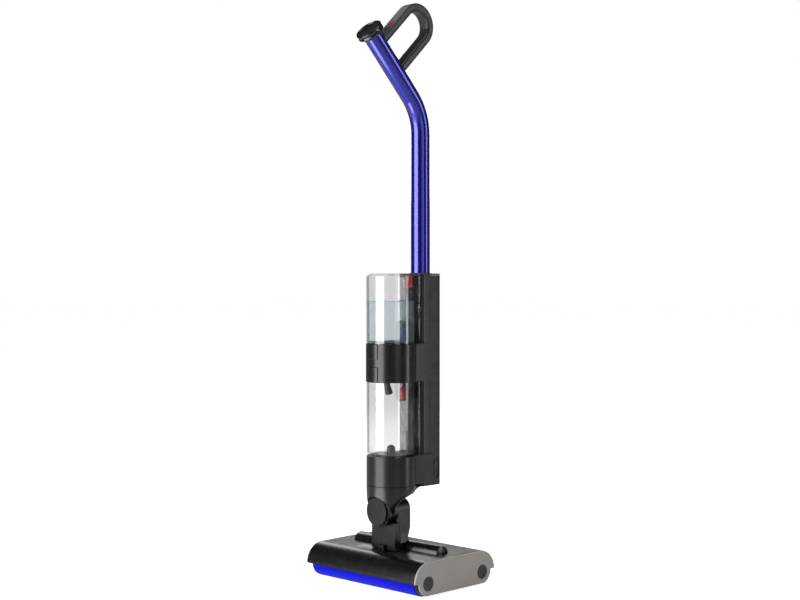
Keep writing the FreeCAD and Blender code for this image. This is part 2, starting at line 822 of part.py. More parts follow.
def spine_solid(bottom, top, inset="0"):
    half = "spine_half - %s" % inset
    front = "spine_front + %s" % inset
    back = "spine_back - %s" % inset
    near = "spine_front_round - %s" % inset
    far = "spine_rear_round - %s" % inset
    corners = [
        ("-(%s) + %s" % (half, near), front),
        ("%s - (%s)" % (half, near), front, near),
        (half, "%s + %s" % (front, near)),
        (half, "%s - (%s)" % (back, far), far),
        ("%s - (%s)" % (half, far), back),
        ("-(%s) + %s" % (half, far), back, far),
        ("-(%s)" % half, "%s - (%s)" % (back, far)),
        ("-(%s)" % half, "%s + %s" % (front, near), near),
    ]
    return padded("XY", corners, "%s - (%s)" % (top, bottom), ("0", "0", "(%s + %s)/2" % (top, bottom)))


def spine_shell(back, bottom, top):
    """One piece of the hollow spine: its front or its back, between two heights."""
    walls = cut(spine_solid("spine_bottom", "spine_top"),
                spine_solid("spine_bottom + spine_wall", "spine_top - spine_wall", "spine_wall"))
    low_y = "spine_split" if back else "spine_front - overcut"
    high_y = "spine_back + overcut" if back else "spine_split"
    return common(walls, box_between(("-spine_half", low_y, bottom), ("spine_half", high_y, top)))


def spine():
    def tube_hole():
        return cylinder("tube_radius + run_gap", "3*spine_wall",
                        ("0", "tube_axis", "spine_top - 2*spine_wall"))
    release_room = box_between(
        ("-release_half - button_gap", "spine_front - overcut", "release_bottom - button_gap"),
        ("release_half + button_gap", "spine_front + 2*spine_wall",
         "release_bottom + release_height + button_gap"))
    part("spine_front_shell", cut(spine_shell(False, "spine_bottom", "spine_top"), tube_hole(), release_room))
    part("spine_rear_shell", cut(spine_shell(True, "battery_cover_top", "spine_top"), tube_hole()))
    recesses = [box_between((left, "recess_front", "recess_bottom"), (right, "recess_back", "recess_top"))
                for left, right in (("spine_half - recess_depth", "spine_half + overcut"),
                                    ("-spine_half - overcut", "-spine_half + recess_depth"))]
    part("battery_cover", cut(spine_shell(True, "spine_bottom", "battery_cover_top - part_gap"), *recesses))
    button = box(("-release_half", "spine_front - release_proud", "release_bottom"),
                 ("2*release_half", "release_depth", "release_height"))
    part("tank_release_button", rounded(
        button, "release_round",
        lambda edge: edge.CenterOfMass.y < value("spine_front - release_proud") + TOUCH))


def spine_contents():
    part("battery_pack", box(("-battery_half", "spine_split + inner_gap",
                              "spine_bottom + spine_wall + 2*inner_gap"),
                             ("2*battery_half", "battery_depth", "battery_length")))
    part("control_board", box(("-board_half", "spine_split + board_inset", "battery_cover_top + board_rise"),
                              ("2*board_half", "board_wall", "board_length")))
    pipe_bottom = "spine_bottom + spine_wall + inner_gap"
    part("suction_pipe", ring("duct_radius", "duct_radius + duct_wall",
                              "collar_bottom + duct_rise - (%s)" % pipe_bottom, ("0", "pipe_y", pipe_bottom)))
    pump_bottom = "collar_bottom + pump_rise"
    ports = [cylinder("pump_port_radius", "pump_port_length",
                      (x, "pipe_y", pump_bottom + " + pump_length - overcut"))
             for x in ("pump_port_place", "-pump_port_place")]
    part("water_pump", fuse(cylinder("pump_radius", "pump_length", ("0", "pipe_y", pump_bottom)), *ports))


# Tanks

def float_set(name, guide_bottom, float_bottom):
    """A float in its guide, against the rear wall of a tank."""
    front = "guide_y - float_radius - guide_wall"
    outer = box(("-guide_half", front, guide_bottom),
                ("2*guide_half", "2*(float_radius + guide_wall)", "guide_height"))
    inner = box(("-guide_half + guide_wall", front + " - overcut", guide_bottom + " - overcut"),
                ("2*(guide_half - guide_wall)", "2*float_radius + guide_wall + overcut",
                 "guide_height + 2*overcut"))
    part(name + "_float_guide", cut(outer, inner))
    pill = turned([
        ("0", "0"), ("float_radius", "0"), ("float_radius", "float_height - float_radius", "float_radius"),
        ("0", "float_height"),
    ], ("0", "guide_y - guide_wall/2", float_bottom))
    part(name + "_float", pill)


def clean_tank():
    inner = "clean_radius - tank_wall"
    shoulder = "tank_round - tank_wall"
    shell = turned([
        (inner, "0"), ("clean_radius", "0"), ("clean_radius", "clean_height - tank_round", "tank_round"),
        ("clean_radius - tank_round", "clean_height"), ("0", "clean_height"),
        ("0", "clean_height - tank_wall"),
        ("clean_radius - tank_round", "clean_height - tank_wall", "-(%s)" % shoulder),
        (inner, "clean_height - tank_round"),
    ], ("0", "tank_y", "clean_bottom"))
    part("clean_tank", shell)
    base = cylinder(inner + " - run_gap", "tank_floor", ("0", "tank_y", "clean_bottom"))
    valve_hole = cylinder("valve_radius", "tank_floor", ("0", "tank_y", "clean_bottom"))
    part("clean_tank_base", cut(base, valve_hole))
    part("tank_valve", fuse(
        cylinder("valve_radius - run_gap", "valve_height", ("0", "tank_y", "clean_bottom")),
        cylinder("valve_radius + valve_flange", "valve_flange_wall",
                 ("0", "tank_y", "clean_bottom + tank_floor"))))
    floor = "clean_bottom + tank_floor"
    float_set("clean", floor, floor + " + float_rest")


def dirty_tank():
    inner = "dirty_radius - tank_wall"
    shoulder = "tank_round - tank_wall"
    jar = turned([
        ("0", "0"), ("dirty_radius - tank_round", "0", "tank_round"), ("dirty_radius", "tank_round"),
        ("dirty_radius", "dirty_height"), (inner, "dirty_height"), (inner, "tank_round", "-(%s)" % shoulder),
        ("dirty_radius - tank_round", "tank_wall"), ("0", "tank_wall"),
    ], ("0", "tank_y", "dirty_bottom"))
    part("dirty_tank", jar)
    knob = turned([
        ("0", "0"), ("riser_radius", "0"), ("riser_radius", "riser_height - riser_radius", "riser_radius"),
        ("0", "riser_height"),
    ], ("0", "tank_y", "dirty_bottom + tank_wall"))
    part("dirty_tank_knob", knob)
    guide_bottom = "collar_bottom - guide_height"
    float_set("dirty", guide_bottom, guide_bottom + " + float_rest")


def collar():
    hollow = cylinder("collar_radius - collar_wall", "collar_height",
                      ("0", "tank_y", "collar_bottom + collar_deck"))
    tabs = []
    for bottom in ("collar_bottom", "collar_top - tab_height"):
        tab_front = "tank_y - collar_radius - tab_proud - overcut"
        tabs.append(common(
            cylinder("collar_radius + tab_proud", "tab_height", ("0", "tank_y", bottom)),
            box(("-tab_half", tab_front, bottom), ("2*tab_half", "collar_radius", "tab_height"))))
    spout_hole = cylinder("spout_radius - spout_wall", "collar_deck + 2*overcut",
                          ("0", "tank_y - spout_top_place", "collar_bottom - overcut"))
    shape = fuse(drum("collar_radius", "collar_bottom", "collar_height", "collar_wing_back"), *tabs)
    part("tank_collar", cut(shape, hollow, spout_hole))
    part("collar_lid", cylinder("collar_radius - collar_wall - run_gap", "collar_deck",
                                ("0", "tank_y", "collar_top - collar_deck")))
    part("air_filter", ring("filter_radius/2", "filter_radius", "filter_height",
                            ("0", "tank_y", "collar_bottom + collar_deck")))


def spout():
    """A short pipe under the collar, leaning back as it goes down."""
    turn = FreeCAD.Rotation(FreeCAD.Vector(1, 0, 0), value("spout_tilt"))
    at = ("0", "tank_y - spout_place", "collar_bottom - spout_length*cos(spout_tilt)")
    length = "spout_length + spout_radius"
    pipe = cut(place(cylinder("spout_radius", length, ORIGIN), at, turn),
               place(cylinder("spout_radius - spout_wall", length, ORIGIN), at, turn))
    below = box(("-collar_radius", "tank_y - collar_radius", "dirty_bottom"),
                ("2*collar_radius", "2*collar_radius", "dirty_height"))
    part("dirty_spout", common(pipe, below))


# Handle tube, loop handle and display

def on_handle(thing, across, along, height):
    """Places a thing in the frame of the tilted tube: across, back from its axis, and along it."""
    at = (across,
          "tube_axis + (%s)*cos(tube_tilt) - (%s)*sin(tube_tilt)" % (along, height),
          "tube_corner_height + (%s)*sin(tube_tilt) + (%s)*cos(tube_tilt)" % (along, height))
    place(thing, at, FreeCAD.Rotation(FreeCAD.Vector(1, 0, 0), value("tube_tilt")))
    thing.setExpression("Placement.Rotation.Angle", bound("tube_tilt"))
    return thing


def bend(radius):
    thing = doc.addObject("Part::Torus", "Bend")
    bind(thing, Radius1="tube_bend_radius", Radius2=radius, Angle3="tube_tilt")
    turn = FreeCAD.Rotation(FreeCAD.Vector(0, 1, 0), FreeCAD.Vector(0, 0, 1), FreeCAD.Vector(1, 0, 0), "ZXY")
    return place(thing, ("0", "tube_axis - tube_bend_radius", "tube_corner_height - bend_tangent"), turn)


def tube_solid(radius):
    lower = cylinder(radius, "tube_corner_height - bend_tangent - (tube_bottom)",
                     ("0", "tube_axis", "tube_bottom"))
    upper = on_handle(cylinder(radius, "tube_upper_length - bend_tangent", ORIGIN), "0", "0", "bend_tangent")
    return fuse(lower, bend(radius), upper)


def loop_corners(start, offset):
    """The closed outline of the loop handle, offset from the middle line of its grip."""
    radius = "grip_bend + %s" % offset
    return [
        (start, "grip_low - (%s)" % offset),
        ("grip_reach", "grip_low - (%s)" % offset, radius),
        ("grip_reach + " + radius, "grip_axis", radius),
        ("grip_reach", "grip_high + %s" % offset),
        (start, "grip_high + %s" % offset),
    ]


def loop_solid(start, offset, width):
    return on_handle(padded("YZ", loop_corners(start, offset), width), "0", "0", "0")


def trim_band():
    start = "tube_radius + trim_gap"
    return cut(loop_solid(start, "grip_wall/2", "trim_width"),
               loop_solid(start, "grip_wall/2 - trim_wall", "trim_width"))


def button_solid(centre, gap="0", extra="0"):
    length = "button_length + 2*(%s)" % gap
    width = "button_width + 2*(%s)" % gap
    thing = box(ORIGIN, (width, length, "button_depth + 2*(%s) + %s" % (extra, gap)))
    return on_handle(thing, "-(%s)/2" % width, "%s - (%s)/2" % (centre, length),
                     "grip_face + button_proud - button_depth - (%s) - (%s)" % (extra, gap))


def button_rooms():
    return [button_solid(centre, "button_gap", "button_travel")
            for centre in ("power_button_place", "mode_button_place")]


def on_grip_side(edge):
    """True for the long edges of the loop, and false for the ends inside the tube."""
    middle = edge.CenterOfMass
    tilt = math.radians(value("tube_tilt"))
    back = (middle.y - value("tube_axis"))*math.cos(tilt)
    up = (middle.z - value("tube_corner_height"))*math.sin(tilt)
    return abs(abs(middle.x) - value("grip_width/2")) < TOUCH and back + up > TOUCH


def handle():
    part("handle_tube", cut(tube_solid("tube_radius"), tube_solid("tube_radius - tube_wall")))
    loop = rounded(loop_solid("0", "grip_wall/2", "grip_width"), "grip_wall/4", on_grip_side)
    hole = loop_solid("-tube_radius", "-grip_wall/2", "grip_width + 2*overcut")
    bore = on_handle(cylinder("tube_radius", "tube_upper_length", ORIGIN), "0", "0", "bend_tangent")
    part("handle_grip", cut(loop, hole, bore, trim_band(), *button_rooms()))
    part("handle_trim", cut(trim_band(), *button_rooms()))
    part("power_button", button_solid("power_button_place"))
    part("mode_button", button_solid("mode_button_place"))


def display():
    seat = "display_height - glass_wall - glass_dish"
    housing = turned([
        ("0", "0"), ("tube_radius + tube_wall", "0"), ("display_neck_radius", "display_height/3"),
        ("display_radius", "3*display_height/4"),
        ("display_radius", "display_height - display_round", "display_round"),
        ("display_radius - display_round", "display_height"), ("glass_radius + run_gap", "display_height"),
        ("glass_radius + run_gap", seat), ("0", seat),
    ])
    part("display_housing", on_handle(housing, "0", "0", "tube_upper_length"))
    curve = "glass_radius^2/(2*glass_dish) + glass_dish/2"
    glass = turned([
        ("0", "0"), ("glass_radius", "0"),
        ("glass_radius", "glass_wall + glass_dish - glass_sunk", "-(%s)" % curve),
        ("0", "glass_wall - glass_sunk"),
    ])
    part("display_glass", on_handle(glass, "0", "0", "tube_upper_length + " + seat))


floor_head()
hinge_bar()
yoke()
neck()
base_housing()
suction_fan()
spine()
spine_contents()
clean_tank()
dirty_tank()
collar()
spout()
handle()
display()
doc.recompute()

for thing in doc.Objects:
    if "Invalid" in thing.State or "Error" in thing.State:
        raise RuntimeError("%s (%s) failed" % (thing.Label, thing.Name))
os.makedirs("parts", exist_ok=True)
for thing in parts:
    if thing.Shape.isNull() or not thing.Shape.isValid():
        raise RuntimeError("%s has no valid shape" % thing.Label)
for thing in parts:
    thing.Shape.exportStep("parts/%s.step" % thing.Label)
print("%d sub-parts written" % len(parts))
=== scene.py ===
import json
import math
import random

import bmesh
import bpy
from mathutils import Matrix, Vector


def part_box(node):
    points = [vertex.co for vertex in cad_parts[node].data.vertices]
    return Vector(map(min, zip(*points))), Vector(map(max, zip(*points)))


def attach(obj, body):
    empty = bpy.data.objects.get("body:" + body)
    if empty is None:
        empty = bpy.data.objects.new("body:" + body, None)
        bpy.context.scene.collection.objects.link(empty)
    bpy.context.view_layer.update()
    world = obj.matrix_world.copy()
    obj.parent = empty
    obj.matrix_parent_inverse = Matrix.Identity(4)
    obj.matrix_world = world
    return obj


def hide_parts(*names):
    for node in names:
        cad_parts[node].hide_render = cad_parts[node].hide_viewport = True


# The looks of a wet dry floor scrubber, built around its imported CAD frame, in metres.

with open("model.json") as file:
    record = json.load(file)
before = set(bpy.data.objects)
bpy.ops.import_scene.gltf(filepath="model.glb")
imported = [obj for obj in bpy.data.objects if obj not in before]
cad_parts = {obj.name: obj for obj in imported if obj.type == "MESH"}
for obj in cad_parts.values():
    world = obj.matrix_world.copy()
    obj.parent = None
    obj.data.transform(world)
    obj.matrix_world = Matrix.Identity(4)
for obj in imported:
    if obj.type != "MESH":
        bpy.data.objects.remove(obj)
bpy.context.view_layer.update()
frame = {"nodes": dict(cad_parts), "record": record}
MM = 0.001


# Materials

class Shader:
    """A Principled material, and short ways to add texture nodes to it."""

    def __init__(self, name, colour, roughness, **sockets):
        self.material = bpy.data.materials.new(name)
        self.material.use_nodes = True
        self.nodes = self.material.node_tree.nodes
        self.links = self.material.node_tree.links
        self.bsdf = self.nodes["Principled BSDF"]
        self.bsdf.inputs["Base Color"].default_value = (*colour, 1)
        self.bsdf.inputs["Roughness"].default_value = roughness
        for socket, number in sockets.items():
            self.bsdf.inputs[socket.replace("_", " ")].default_value = number
        self.place = self.nodes.new("ShaderNodeTexCoord").outputs["Object"]

    def stretched(self, scale):
        mapping = self.nodes.new("ShaderNodeMapping")
        mapping.inputs["Scale"].default_value = scale
        self.links.new(self.place, mapping.inputs["Vector"])
        return mapping.outputs["Vector"]

    def noise(self, scale, detail=3, vector=None):
        texture = self.nodes.new("ShaderNodeTexNoise")
        texture.inputs["Scale"].default_value = scale
        texture.inputs["Detail"].default_value = detail
        self.links.new(vector or self.place, texture.inputs["Vector"])
        return texture.outputs["Fac"]

    def cells(self, scale, vector=None):
        texture = self.nodes.new("ShaderNodeTexVoronoi")
        texture.inputs["Scale"].default_value = scale
        self.links.new(vector or self.place, texture.inputs["Vector"])
        return texture.outputs["Distance"]

    def ramp(self, factor, low, high, start=0.3, end=0.7):
        """Maps a texture to a range of numbers or of colours."""
        ramp = self.nodes.new("ShaderNodeValToRGB")
        for stop, place, shade in zip(ramp.color_ramp.elements, (start, end), (low, high)):
            stop.position = place
            stop.color = (*shade, 1) if hasattr(shade, "__len__") else (shade, shade, shade, 1)
        self.links.new(factor, ramp.inputs["Fac"])
        return ramp.outputs["Color"]

    def vary_colour(self, factor, low, high):
        self.links.new(self.ramp(factor, low, high), self.bsdf.inputs["Base Color"])
        return self

    def vary_roughness(self, factor, low, high):
        self.links.new(self.ramp(factor, low, high), self.bsdf.inputs["Roughness"])
        return self

    def bump(self, factor, strength, distance):
        """Adds a layer of relief. distance is its depth in metres."""
        node = self.nodes.new("ShaderNodeBump")
        node.inputs["Strength"].default_value = strength
        node.inputs["Distance"].default_value = distance
        self.links.new(factor, node.inputs["Height"])
        normal = self.bsdf.inputs["Normal"]
        if normal.links:
            self.links.new(normal.links[0].from_socket, node.inputs["Normal"])
        self.links.new(node.outputs["Normal"], normal)
        return self


def shades(colour, spread):
    return [tuple(c*(1 - spread) for c in colour), tuple(c*(1 + spread) for c in colour)]


def moulded(name, colour, roughness, spread=0.12, grain=0.05, **sockets):
    """Injection-moulded plastic: spark-eroded grain, faint flow marks and uneven gloss."""
    shader = Shader(name, colour, roughness, **sockets)
    shader.vary_colour(shader.noise(18, 4), *shades(colour, spread))
    shader.vary_roughness(shader.noise(55, 5), roughness*0.86, roughness*1.14)
    shader.bump(shader.noise(1500, 2), grain, 0.00003)
    shader.bump(shader.noise(160, 2), 0.02, 0.00005)
    return shader.material


def anodised(name, colour):
    """Satin anodised aluminium under a clear gloss coat, with faint lines drawn along the tube."""
    shader = Shader(name, colour, 0.30, Metallic=0.85, Coat_Weight=1.0, Coat_Roughness=0.10, Coat_IOR=1.65)
    shader.vary_colour(shader.noise(6, 2), *shades(colour, 0.05))
    shader.vary_roughness(shader.noise(120, 2, shader.stretched((1, 1, 0.05))), 0.27, 0.33)
    shader.bump(shader.noise(400, 2, shader.stretched((1, 1, 0.05))), 0.02, 0.00002)
    return shader.material


def pile(name, colour):
    """Dense microfibre loops: soft tufts, with painted light on their tips and painted shade at their roots
    between the tufts.
    """
    shader = Shader(name, colour, 0.85, Sheen_Weight=0.5, Sheen_Roughness=0.4, Specular_IOR_Level=0.2)
    shader.bsdf.inputs["Sheen Tint"].default_value = (0.25, 0.3, 1.0, 1)
    tufts = shader.cells(620)
    # Painted light and shade: each tuft is painted lighter at its middle and darker towards its edges,
    # where the shade between tufts falls.
    shader.vary_colour(tufts, [c*1.5 for c in colour], [c*0.45 for c in colour])
    shader.bump(tufts, 0.7, 0.0006)
    shader.bump(shader.noise(2400, 3), 0.5, 0.0003)
    return shader.material


def metal(name, colour, roughness, lines=(1, 1, 1)):
    shader = Shader(name, colour, roughness, Metallic=1.0)
    shader.vary_roughness(shader.noise(700, 3, shader.stretched(lines)), roughness*0.8, roughness*1.25)
    shader.vary_colour(shader.noise(40, 3), *shades(colour, 0.06))
    shader.bump(shader.noise(2500, 2, shader.stretched(lines)), 0.05, 0.00003)
    return shader.material


def clear(name, facing_tint, edge_tint, gloss=0.04, haze=0.0):
    """Clear moulded wall: tinted more at grazing angles, where its reflections also show."""
    shader = Shader(name, (1, 1, 1), gloss, Metallic=1.0)
    shader.vary_roughness(shader.noise(60, 3), gloss*0.6, gloss*1.6)
    shader.bump(shader.noise(30, 2), 0.04, 0.0004)
    nodes, links = shader.nodes, shader.links
    facing = nodes.new("ShaderNodeLayerWeight")
    facing.inputs["Blend"].default_value = 0.5
    see_through = nodes.new("ShaderNodeBsdfTransparent")
    tint = shader.ramp(facing.outputs["Facing"], facing_tint, edge_tint, 0.55, 0.98)
    links.new(tint, see_through.inputs["Color"])
    body = see_through.outputs["BSDF"]
    if haze:
        cloud = nodes.new("ShaderNodeBsdfDiffuse")
        cloud.inputs["Color"].default_value = (0.66, 0.80, 0.88, 1)
        cloudy = nodes.new("ShaderNodeMixShader")
        links.new(shader.ramp(shader.noise(12, 3), haze*0.8, haze*1.2), cloudy.inputs["Fac"])
        links.new(body, cloudy.inputs[1])
        links.new(cloud.outputs["BSDF"], cloudy.inputs[2])
        body = cloudy.outputs["Shader"]
    mix = nodes.new("ShaderNodeMixShader")
    links.new(shader.ramp(facing.outputs["Facing"], 0.045, 0.30, 0.62, 1.0), mix.inputs["Fac"])
    links.new(body, mix.inputs[1])
    links.new(shader.bsdf.outputs["BSDF"], mix.inputs[2])
    links.new(mix.outputs["Shader"], nodes["Material Output"].inputs["Surface"])
    return shader.material


def make_materials():
    charcoal = (0.0034, 0.0036, 0.0042)
    blue = (0.0012, 0.0015, 0.30)
    made = {
        "charcoal_shell": moulded("charcoal_shell", charcoal, 0.25, Specular_IOR_Level=0.5),
        "warm_grey_cap": moulded("warm_grey_cap", (0.40, 0.375, 0.350), 0.42, 0.05),
        "grip_grey": moulded("grip_grey", (0.026, 0.026, 0.026), 0.33),
        "trim_grey": moulded("trim_grey", (0.150, 0.147, 0.145), 0.33),
        "blue_tube": anodised("blue_tube", blue),
        "blue_pile": pile("blue_pile", (0.001, 0.002, 0.72)),
        "core_plastic": moulded("core_plastic", (0.075, 0.074, 0.074), 0.5),
        "clear_tank": clear("clear_tank", (0.925, 0.925, 0.925), (0.55, 0.56, 0.57)),
        "black_gloss": moulded("black_gloss", (0.003, 0.003, 0.0035), 0.06, grain=0.0, Coat_Weight=0.6),
        "signal_red": moulded("signal_red", (0.42, 0.010, 0.010), 0.24, grain=0.02, Coat_Weight=0.3),
        "signal_blue": moulded("signal_blue", (0.010, 0.055, 0.17), 0.22, grain=0.02, Coat_Weight=0.3),
        "teal": moulded("teal", (0.010, 0.11, 0.13), 0.35),
        "dark_rubber": moulded("dark_rubber", (0.012, 0.012, 0.012), 0.75, grain=0.2),
        "steel": metal("steel", (0.55, 0.55, 0.57), 0.28),
        "motor_can": metal("motor_can", (0.40, 0.41, 0.43), 0.35, (0.05, 1, 1)),
        "bronze": metal("bronze", (0.48, 0.30, 0.13), 0.40),
        "circuit_green": moulded("circuit_green", (0.012, 0.11, 0.035), 0.35),
        "filter_paper": moulded("filter_paper", (0.72, 0.70, 0.64), 0.9, grain=0.3),
        "cell_wrap": moulded("cell_wrap", (0.02, 0.05, 0.16), 0.3, grain=0.02),
        "water": clear("water", (0.93, 0.975, 0.99), (0.72, 0.80, 0.84), 0.03, 0.09),
    }
    return made


materials = make_materials()


# Mesh helpers. Outlines are in millimetres, and meshes in metres.

def corner_path(corners, steps=7):
    """A closed outline. A corner (x, y, radius) is rounded, and a corner (x, y) is sharp."""
    points = []
    count = len(corners)
    for index, corner in enumerate(corners):
        here = Vector(corner[:2])
        if len(corner) == 2 or corner[2] <= 0:
            points.append(here)
            continue
        before = (Vector(corners[index - 1][:2]) - here).normalized()
        after = (Vector(corners[(index + 1) % count][:2]) - here).normalized()
        half = before.angle(after)/2
        reach = corner[2]/math.tan(half)
        start = here + before*reach
        end = here + after*reach
        centre = here + (before + after).normalized()*(corner[2]/math.sin(half))
        first = start - centre
        sweep = first.angle_signed(end - centre)
        for step in range(steps + 1):
            angle = -sweep*step/steps
            turned = Vector((first.x*math.cos(angle) - first.y*math.sin(angle),
                             first.x*math.sin(angle) + first.y*math.cos(angle)))
            points.append(centre + turned)
    return points


def panel(left, right, bottom, top, lower, upper, steps=7):
    """A rectangle with one radius at its lower corners and one at its upper corners."""
    return corner_path([(left, bottom, lower), (right, bottom, lower),
                        (right, top, upper), (left, top, upper)], steps)


def lifted(profile, height):
    """A profile whose heights were given from a level."""
    return [(radius, height + rise) for radius, rise in profile]


def arc(centre, radius, start, end, steps):
    """Points on a circle, from one angle to another, in degrees."""
    angles = [math.radians(start + (end - start)*step/steps) for step in range(steps + 1)]
    return [Vector((centre[0] + radius*math.cos(a), centre[1] + radius*math.sin(a))) for a in angles]


def to_object(name, verts, faces):
    mesh = bpy.data.meshes.new(name)
    mesh.from_pydata([tuple(Vector(v)*MM) for v in verts], [], faces)
    work = bmesh.new()
    work.from_mesh(mesh)
    bmesh.ops.remove_doubles(work, verts=work.verts, dist=1e-6)
    bmesh.ops.recalc_face_normals(work, faces=work.faces)
    work.to_mesh(mesh)
    work.free()
    piece = bpy.data.objects.new(name, mesh)
    bpy.context.scene.collection.objects.link(piece)
    return piece


PLANES = {
    "YZ": lambda u, v, w: (w, u, v),
    "XZ": lambda u, v, w: (u, w, v),
    "XY": lambda u, v, w: (u, v, w),
}


def prism(name, outline, plane, low, high):
    """An outline carried from low to high along the axis that its plane faces."""
    lift = PLANES[plane]
    count = len(outline)
    verts = [lift(p[0], p[1], w) for w in (low, high) for p in outline]
    sides = [(i, (i + 1) % count, count + (i + 1) % count, count + i) for i in range(count)]
    ends = [tuple(range(count)), tuple(range(count, 2*count))]
    return to_object(name, verts, sides + ends)


def lathe(name, profile, centre, axis="Z", steps=96, closed=False):
    """A profile of (radius, height) points turned about an axis through the centre."""
    verts = []
    for step in range(steps):
        angle = 2*math.pi*step/steps
        for radius, height in profile:
            across = radius*math.cos(angle)
            along = radius*math.sin(angle)
            turned = {"Z": (across, along, height), "X": (height, across, along),
                      "Y": (across, height, along)}[axis]
            verts.append(tuple(c + t for c, t in zip(centre, turned)))
    count = len(profile)
    rows = count if closed else count - 1
    faces = []
    for step in range(steps):
        here = step*count
        there = (step + 1) % steps*count
        for row in range(rows):
            up = (row + 1) % count
            faces.append((here + row, there + row, there + up, here + up))
    return to_object(name, verts, faces)


def rod(name, radius, low, high, centre, axis="Z", steps=96):
    """A plain round bar, mostly used to cut a round room."""
    return lathe(name, [(0, low), (radius, low), (radius, high), (0, high)], centre, axis, steps)


def rectangle(left, right, bottom, top):
    return [Vector((left, bottom)), Vector((right, bottom)), Vector((right, top)), Vector((left, top))]


def ellipse(width, near, far, height, count=128):
    """A level ring of points, width to each side of the middle and from near to far."""
    ring = []
    for step in range(count):
        angle = 2*math.pi*step/count
        ring.append((width*math.cos(angle), (near + far)/2 + (far - near)/2*math.sin(angle), height))
    return ring


def loft(name, rings):
    """Rings of equally many points, joined in order, with flat ends."""
    count = len(rings[0])
    verts = [point for ring in rings for point in ring]
    faces = []
    for row in range(len(rings) - 1):
        for i in range(count):
            j = (i + 1) % count
            faces.append((row*count + i, row*count + j, (row + 1)*count + j, (row + 1)*count + i))
    faces.append(tuple(range(count)))
    faces.append(tuple(range((len(rings) - 1)*count, len(rings)*count)))
    return to_object(name, verts, faces)


def apply_modifiers(piece):
    graph = bpy.context.evaluated_depsgraph_get()
    graph.update()
    mesh = bpy.data.meshes.new_from_object(piece.evaluated_get(graph))
    piece.modifiers.clear()
    piece.data = mesh
    return piece


def carve(piece, *tools, operation="DIFFERENCE"):
    """Cuts the tools out of a piece, or joins them to it, and removes them."""
    for tool in tools:
        modifier = piece.modifiers.new("carve", "BOOLEAN")
        modifier.operation = operation
        modifier.solver = "EXACT"
        modifier.object = tool
    apply_modifiers(piece)
    for tool in tools:
        bpy.data.objects.remove(tool)
    return piece


def soften(piece, width=0.8, segments=3, angle=34):
    """Rounds the hard edges by a width in millimetres, and shades the rest smooth."""
    if width:
        bevel = piece.modifiers.new("bevel", "BEVEL")
        bevel.width = width*MM
        bevel.segments = segments
        bevel.limit_method = "ANGLE"
        bevel.angle_limit = math.radians(angle)
        bevel.use_clamp_overlap = True
        bevel.miter_outer = "MITER_ARC"
    smooth(piece)
    weighted = piece.modifiers.new("normals", "WEIGHTED_NORMAL")
    weighted.keep_sharp = True
    return piece


def smooth(piece, angle=40):
    for polygon in piece.data.polygons:
        polygon.use_smooth = True
    piece.data.set_sharp_from_angle(angle=math.radians(angle))
    return piece


def keep(piece, body, slot, *replaced, material=None):
    """Gives a piece its material, its body and the CAD nodes that it stands for."""
    piece.data.materials.clear()
    piece.data.materials.append(materials[material or slot])
    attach(piece, body)
    if replaced:
        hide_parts(*replaced)
    return piece


def size_of(node):
    """The low and high corner of a CAD node, in millimetres."""
    low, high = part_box(node)
    return low/MM, high/MM


# Floor head

def cover(name, side):
    """One half of the cover: a curved shell, dished in front of the yoke, open over the hinge bar."""
    low, high = size_of(name)
    bar_low, bar_high = size_of("cross_bar")
    wall, radius, lip = 3.0, 38.0, low.z
    trough_radius, trough_margin = 18.3, 0.8
    axis = abs(low.y if side < 0 else high.y) - radius
    section = arc((axis, lip), radius, 0, 90, 20)
    seam, crown, columns, rows = 0.25, 0.5, 112, 24
    for step in range(1, rows + 1):
        section.append(Vector((axis + (seam - axis)*step/rows, lip + radius + crown*step/rows)))
    verts = []
    for column in range(columns + 1):
        x = low.x + (high.x - low.x)*column/columns
        for y, z in section:
            verts.append((x, side*y, z - dish(x, y, side)))
    count = len(section)
    faces = [(c*count + r, (c + 1)*count + r, (c + 1)*count + r + 1, c*count + r + 1)
             for c in range(columns) for r in range(count - 1)]
    piece = to_object(name + "_shell", verts, faces)
    solid = piece.modifiers.new("wall", "SOLIDIFY")
    solid.thickness = wall*MM
    solid.offset = -1 if outward(piece) else 1
    apply_modifiers(piece)
    trough = rod("trough", trough_radius, bar_low.x - trough_margin, bar_high.x + trough_margin,
                 (0, 0, (bar_low.z + bar_high.z)/2), "X", 64)
    block_half, block_inner, block_outer = 7.4, bar_high.x + 0.3, bar_high.x + 11
    blocks = []
    for end in (-1, 1):
        left, right = sorted((end*block_inner, end*block_outer))
        blocks.append(prism("block", rectangle(-block_half, block_half, 50, 80), "YZ", left, right))
    carve(piece, trough, *blocks)
    if side > 0:
        button_low, button_high = size_of("cover_release_button")
        middle = (button_low + button_high)/2
        hole_radius, hole_bottom = 5.4, size_of("head_chassis")[1].z - 3
        carve(piece, rod("hole", hole_radius, hole_bottom, 90, (middle.x, middle.y, 0)))
    soften(piece, 0.7, 2)
    keep(piece, "head", "charcoal_shell", name)


def dish(x, y, side):
    """How far the cover is pressed in: a shallow hollow in front of the yoke."""
    if side > 0:
        return 0
    half_width, middle, half_length, depth = 62, 46, 32, 2.4
    across = max(0, 1 - (x/half_width)**2)
    along = max(0, 1 - ((y - middle)/half_length)**2)
    return depth*(across*along)**1.2


def outward(piece):
    """True if a shell's faces point away from the floor."""
    return sum(polygon.normal.z*polygon.area for polygon in piece.data.polygons) > 0


def end_outline():
    """The outline of the end pieces: covers above, roller ends and feet below."""
    edge, lip, radius, axis, top, foot, floor = 113, 28.5, 38, 75, 66.5, 83, 3
    roller_axis = (76, 28.0)
    foot_angle = math.degrees(math.atan2(floor - roller_axis[1], foot - roller_axis[0]))
    half = arc(roller_axis, 26.0, foot_angle, 1, 10)
    half += [Vector((edge - 0.8, lip)), Vector((edge, lip + 0.8))]
    half += arc((axis, lip), radius, 2, 90, 16)
    half += [Vector((37, top + 0.3)), Vector((0, top + 0.5))]
    mirrored = [Vector((-p.x, p.y)) for p in reversed(half[:-1])]
    return half + mirrored


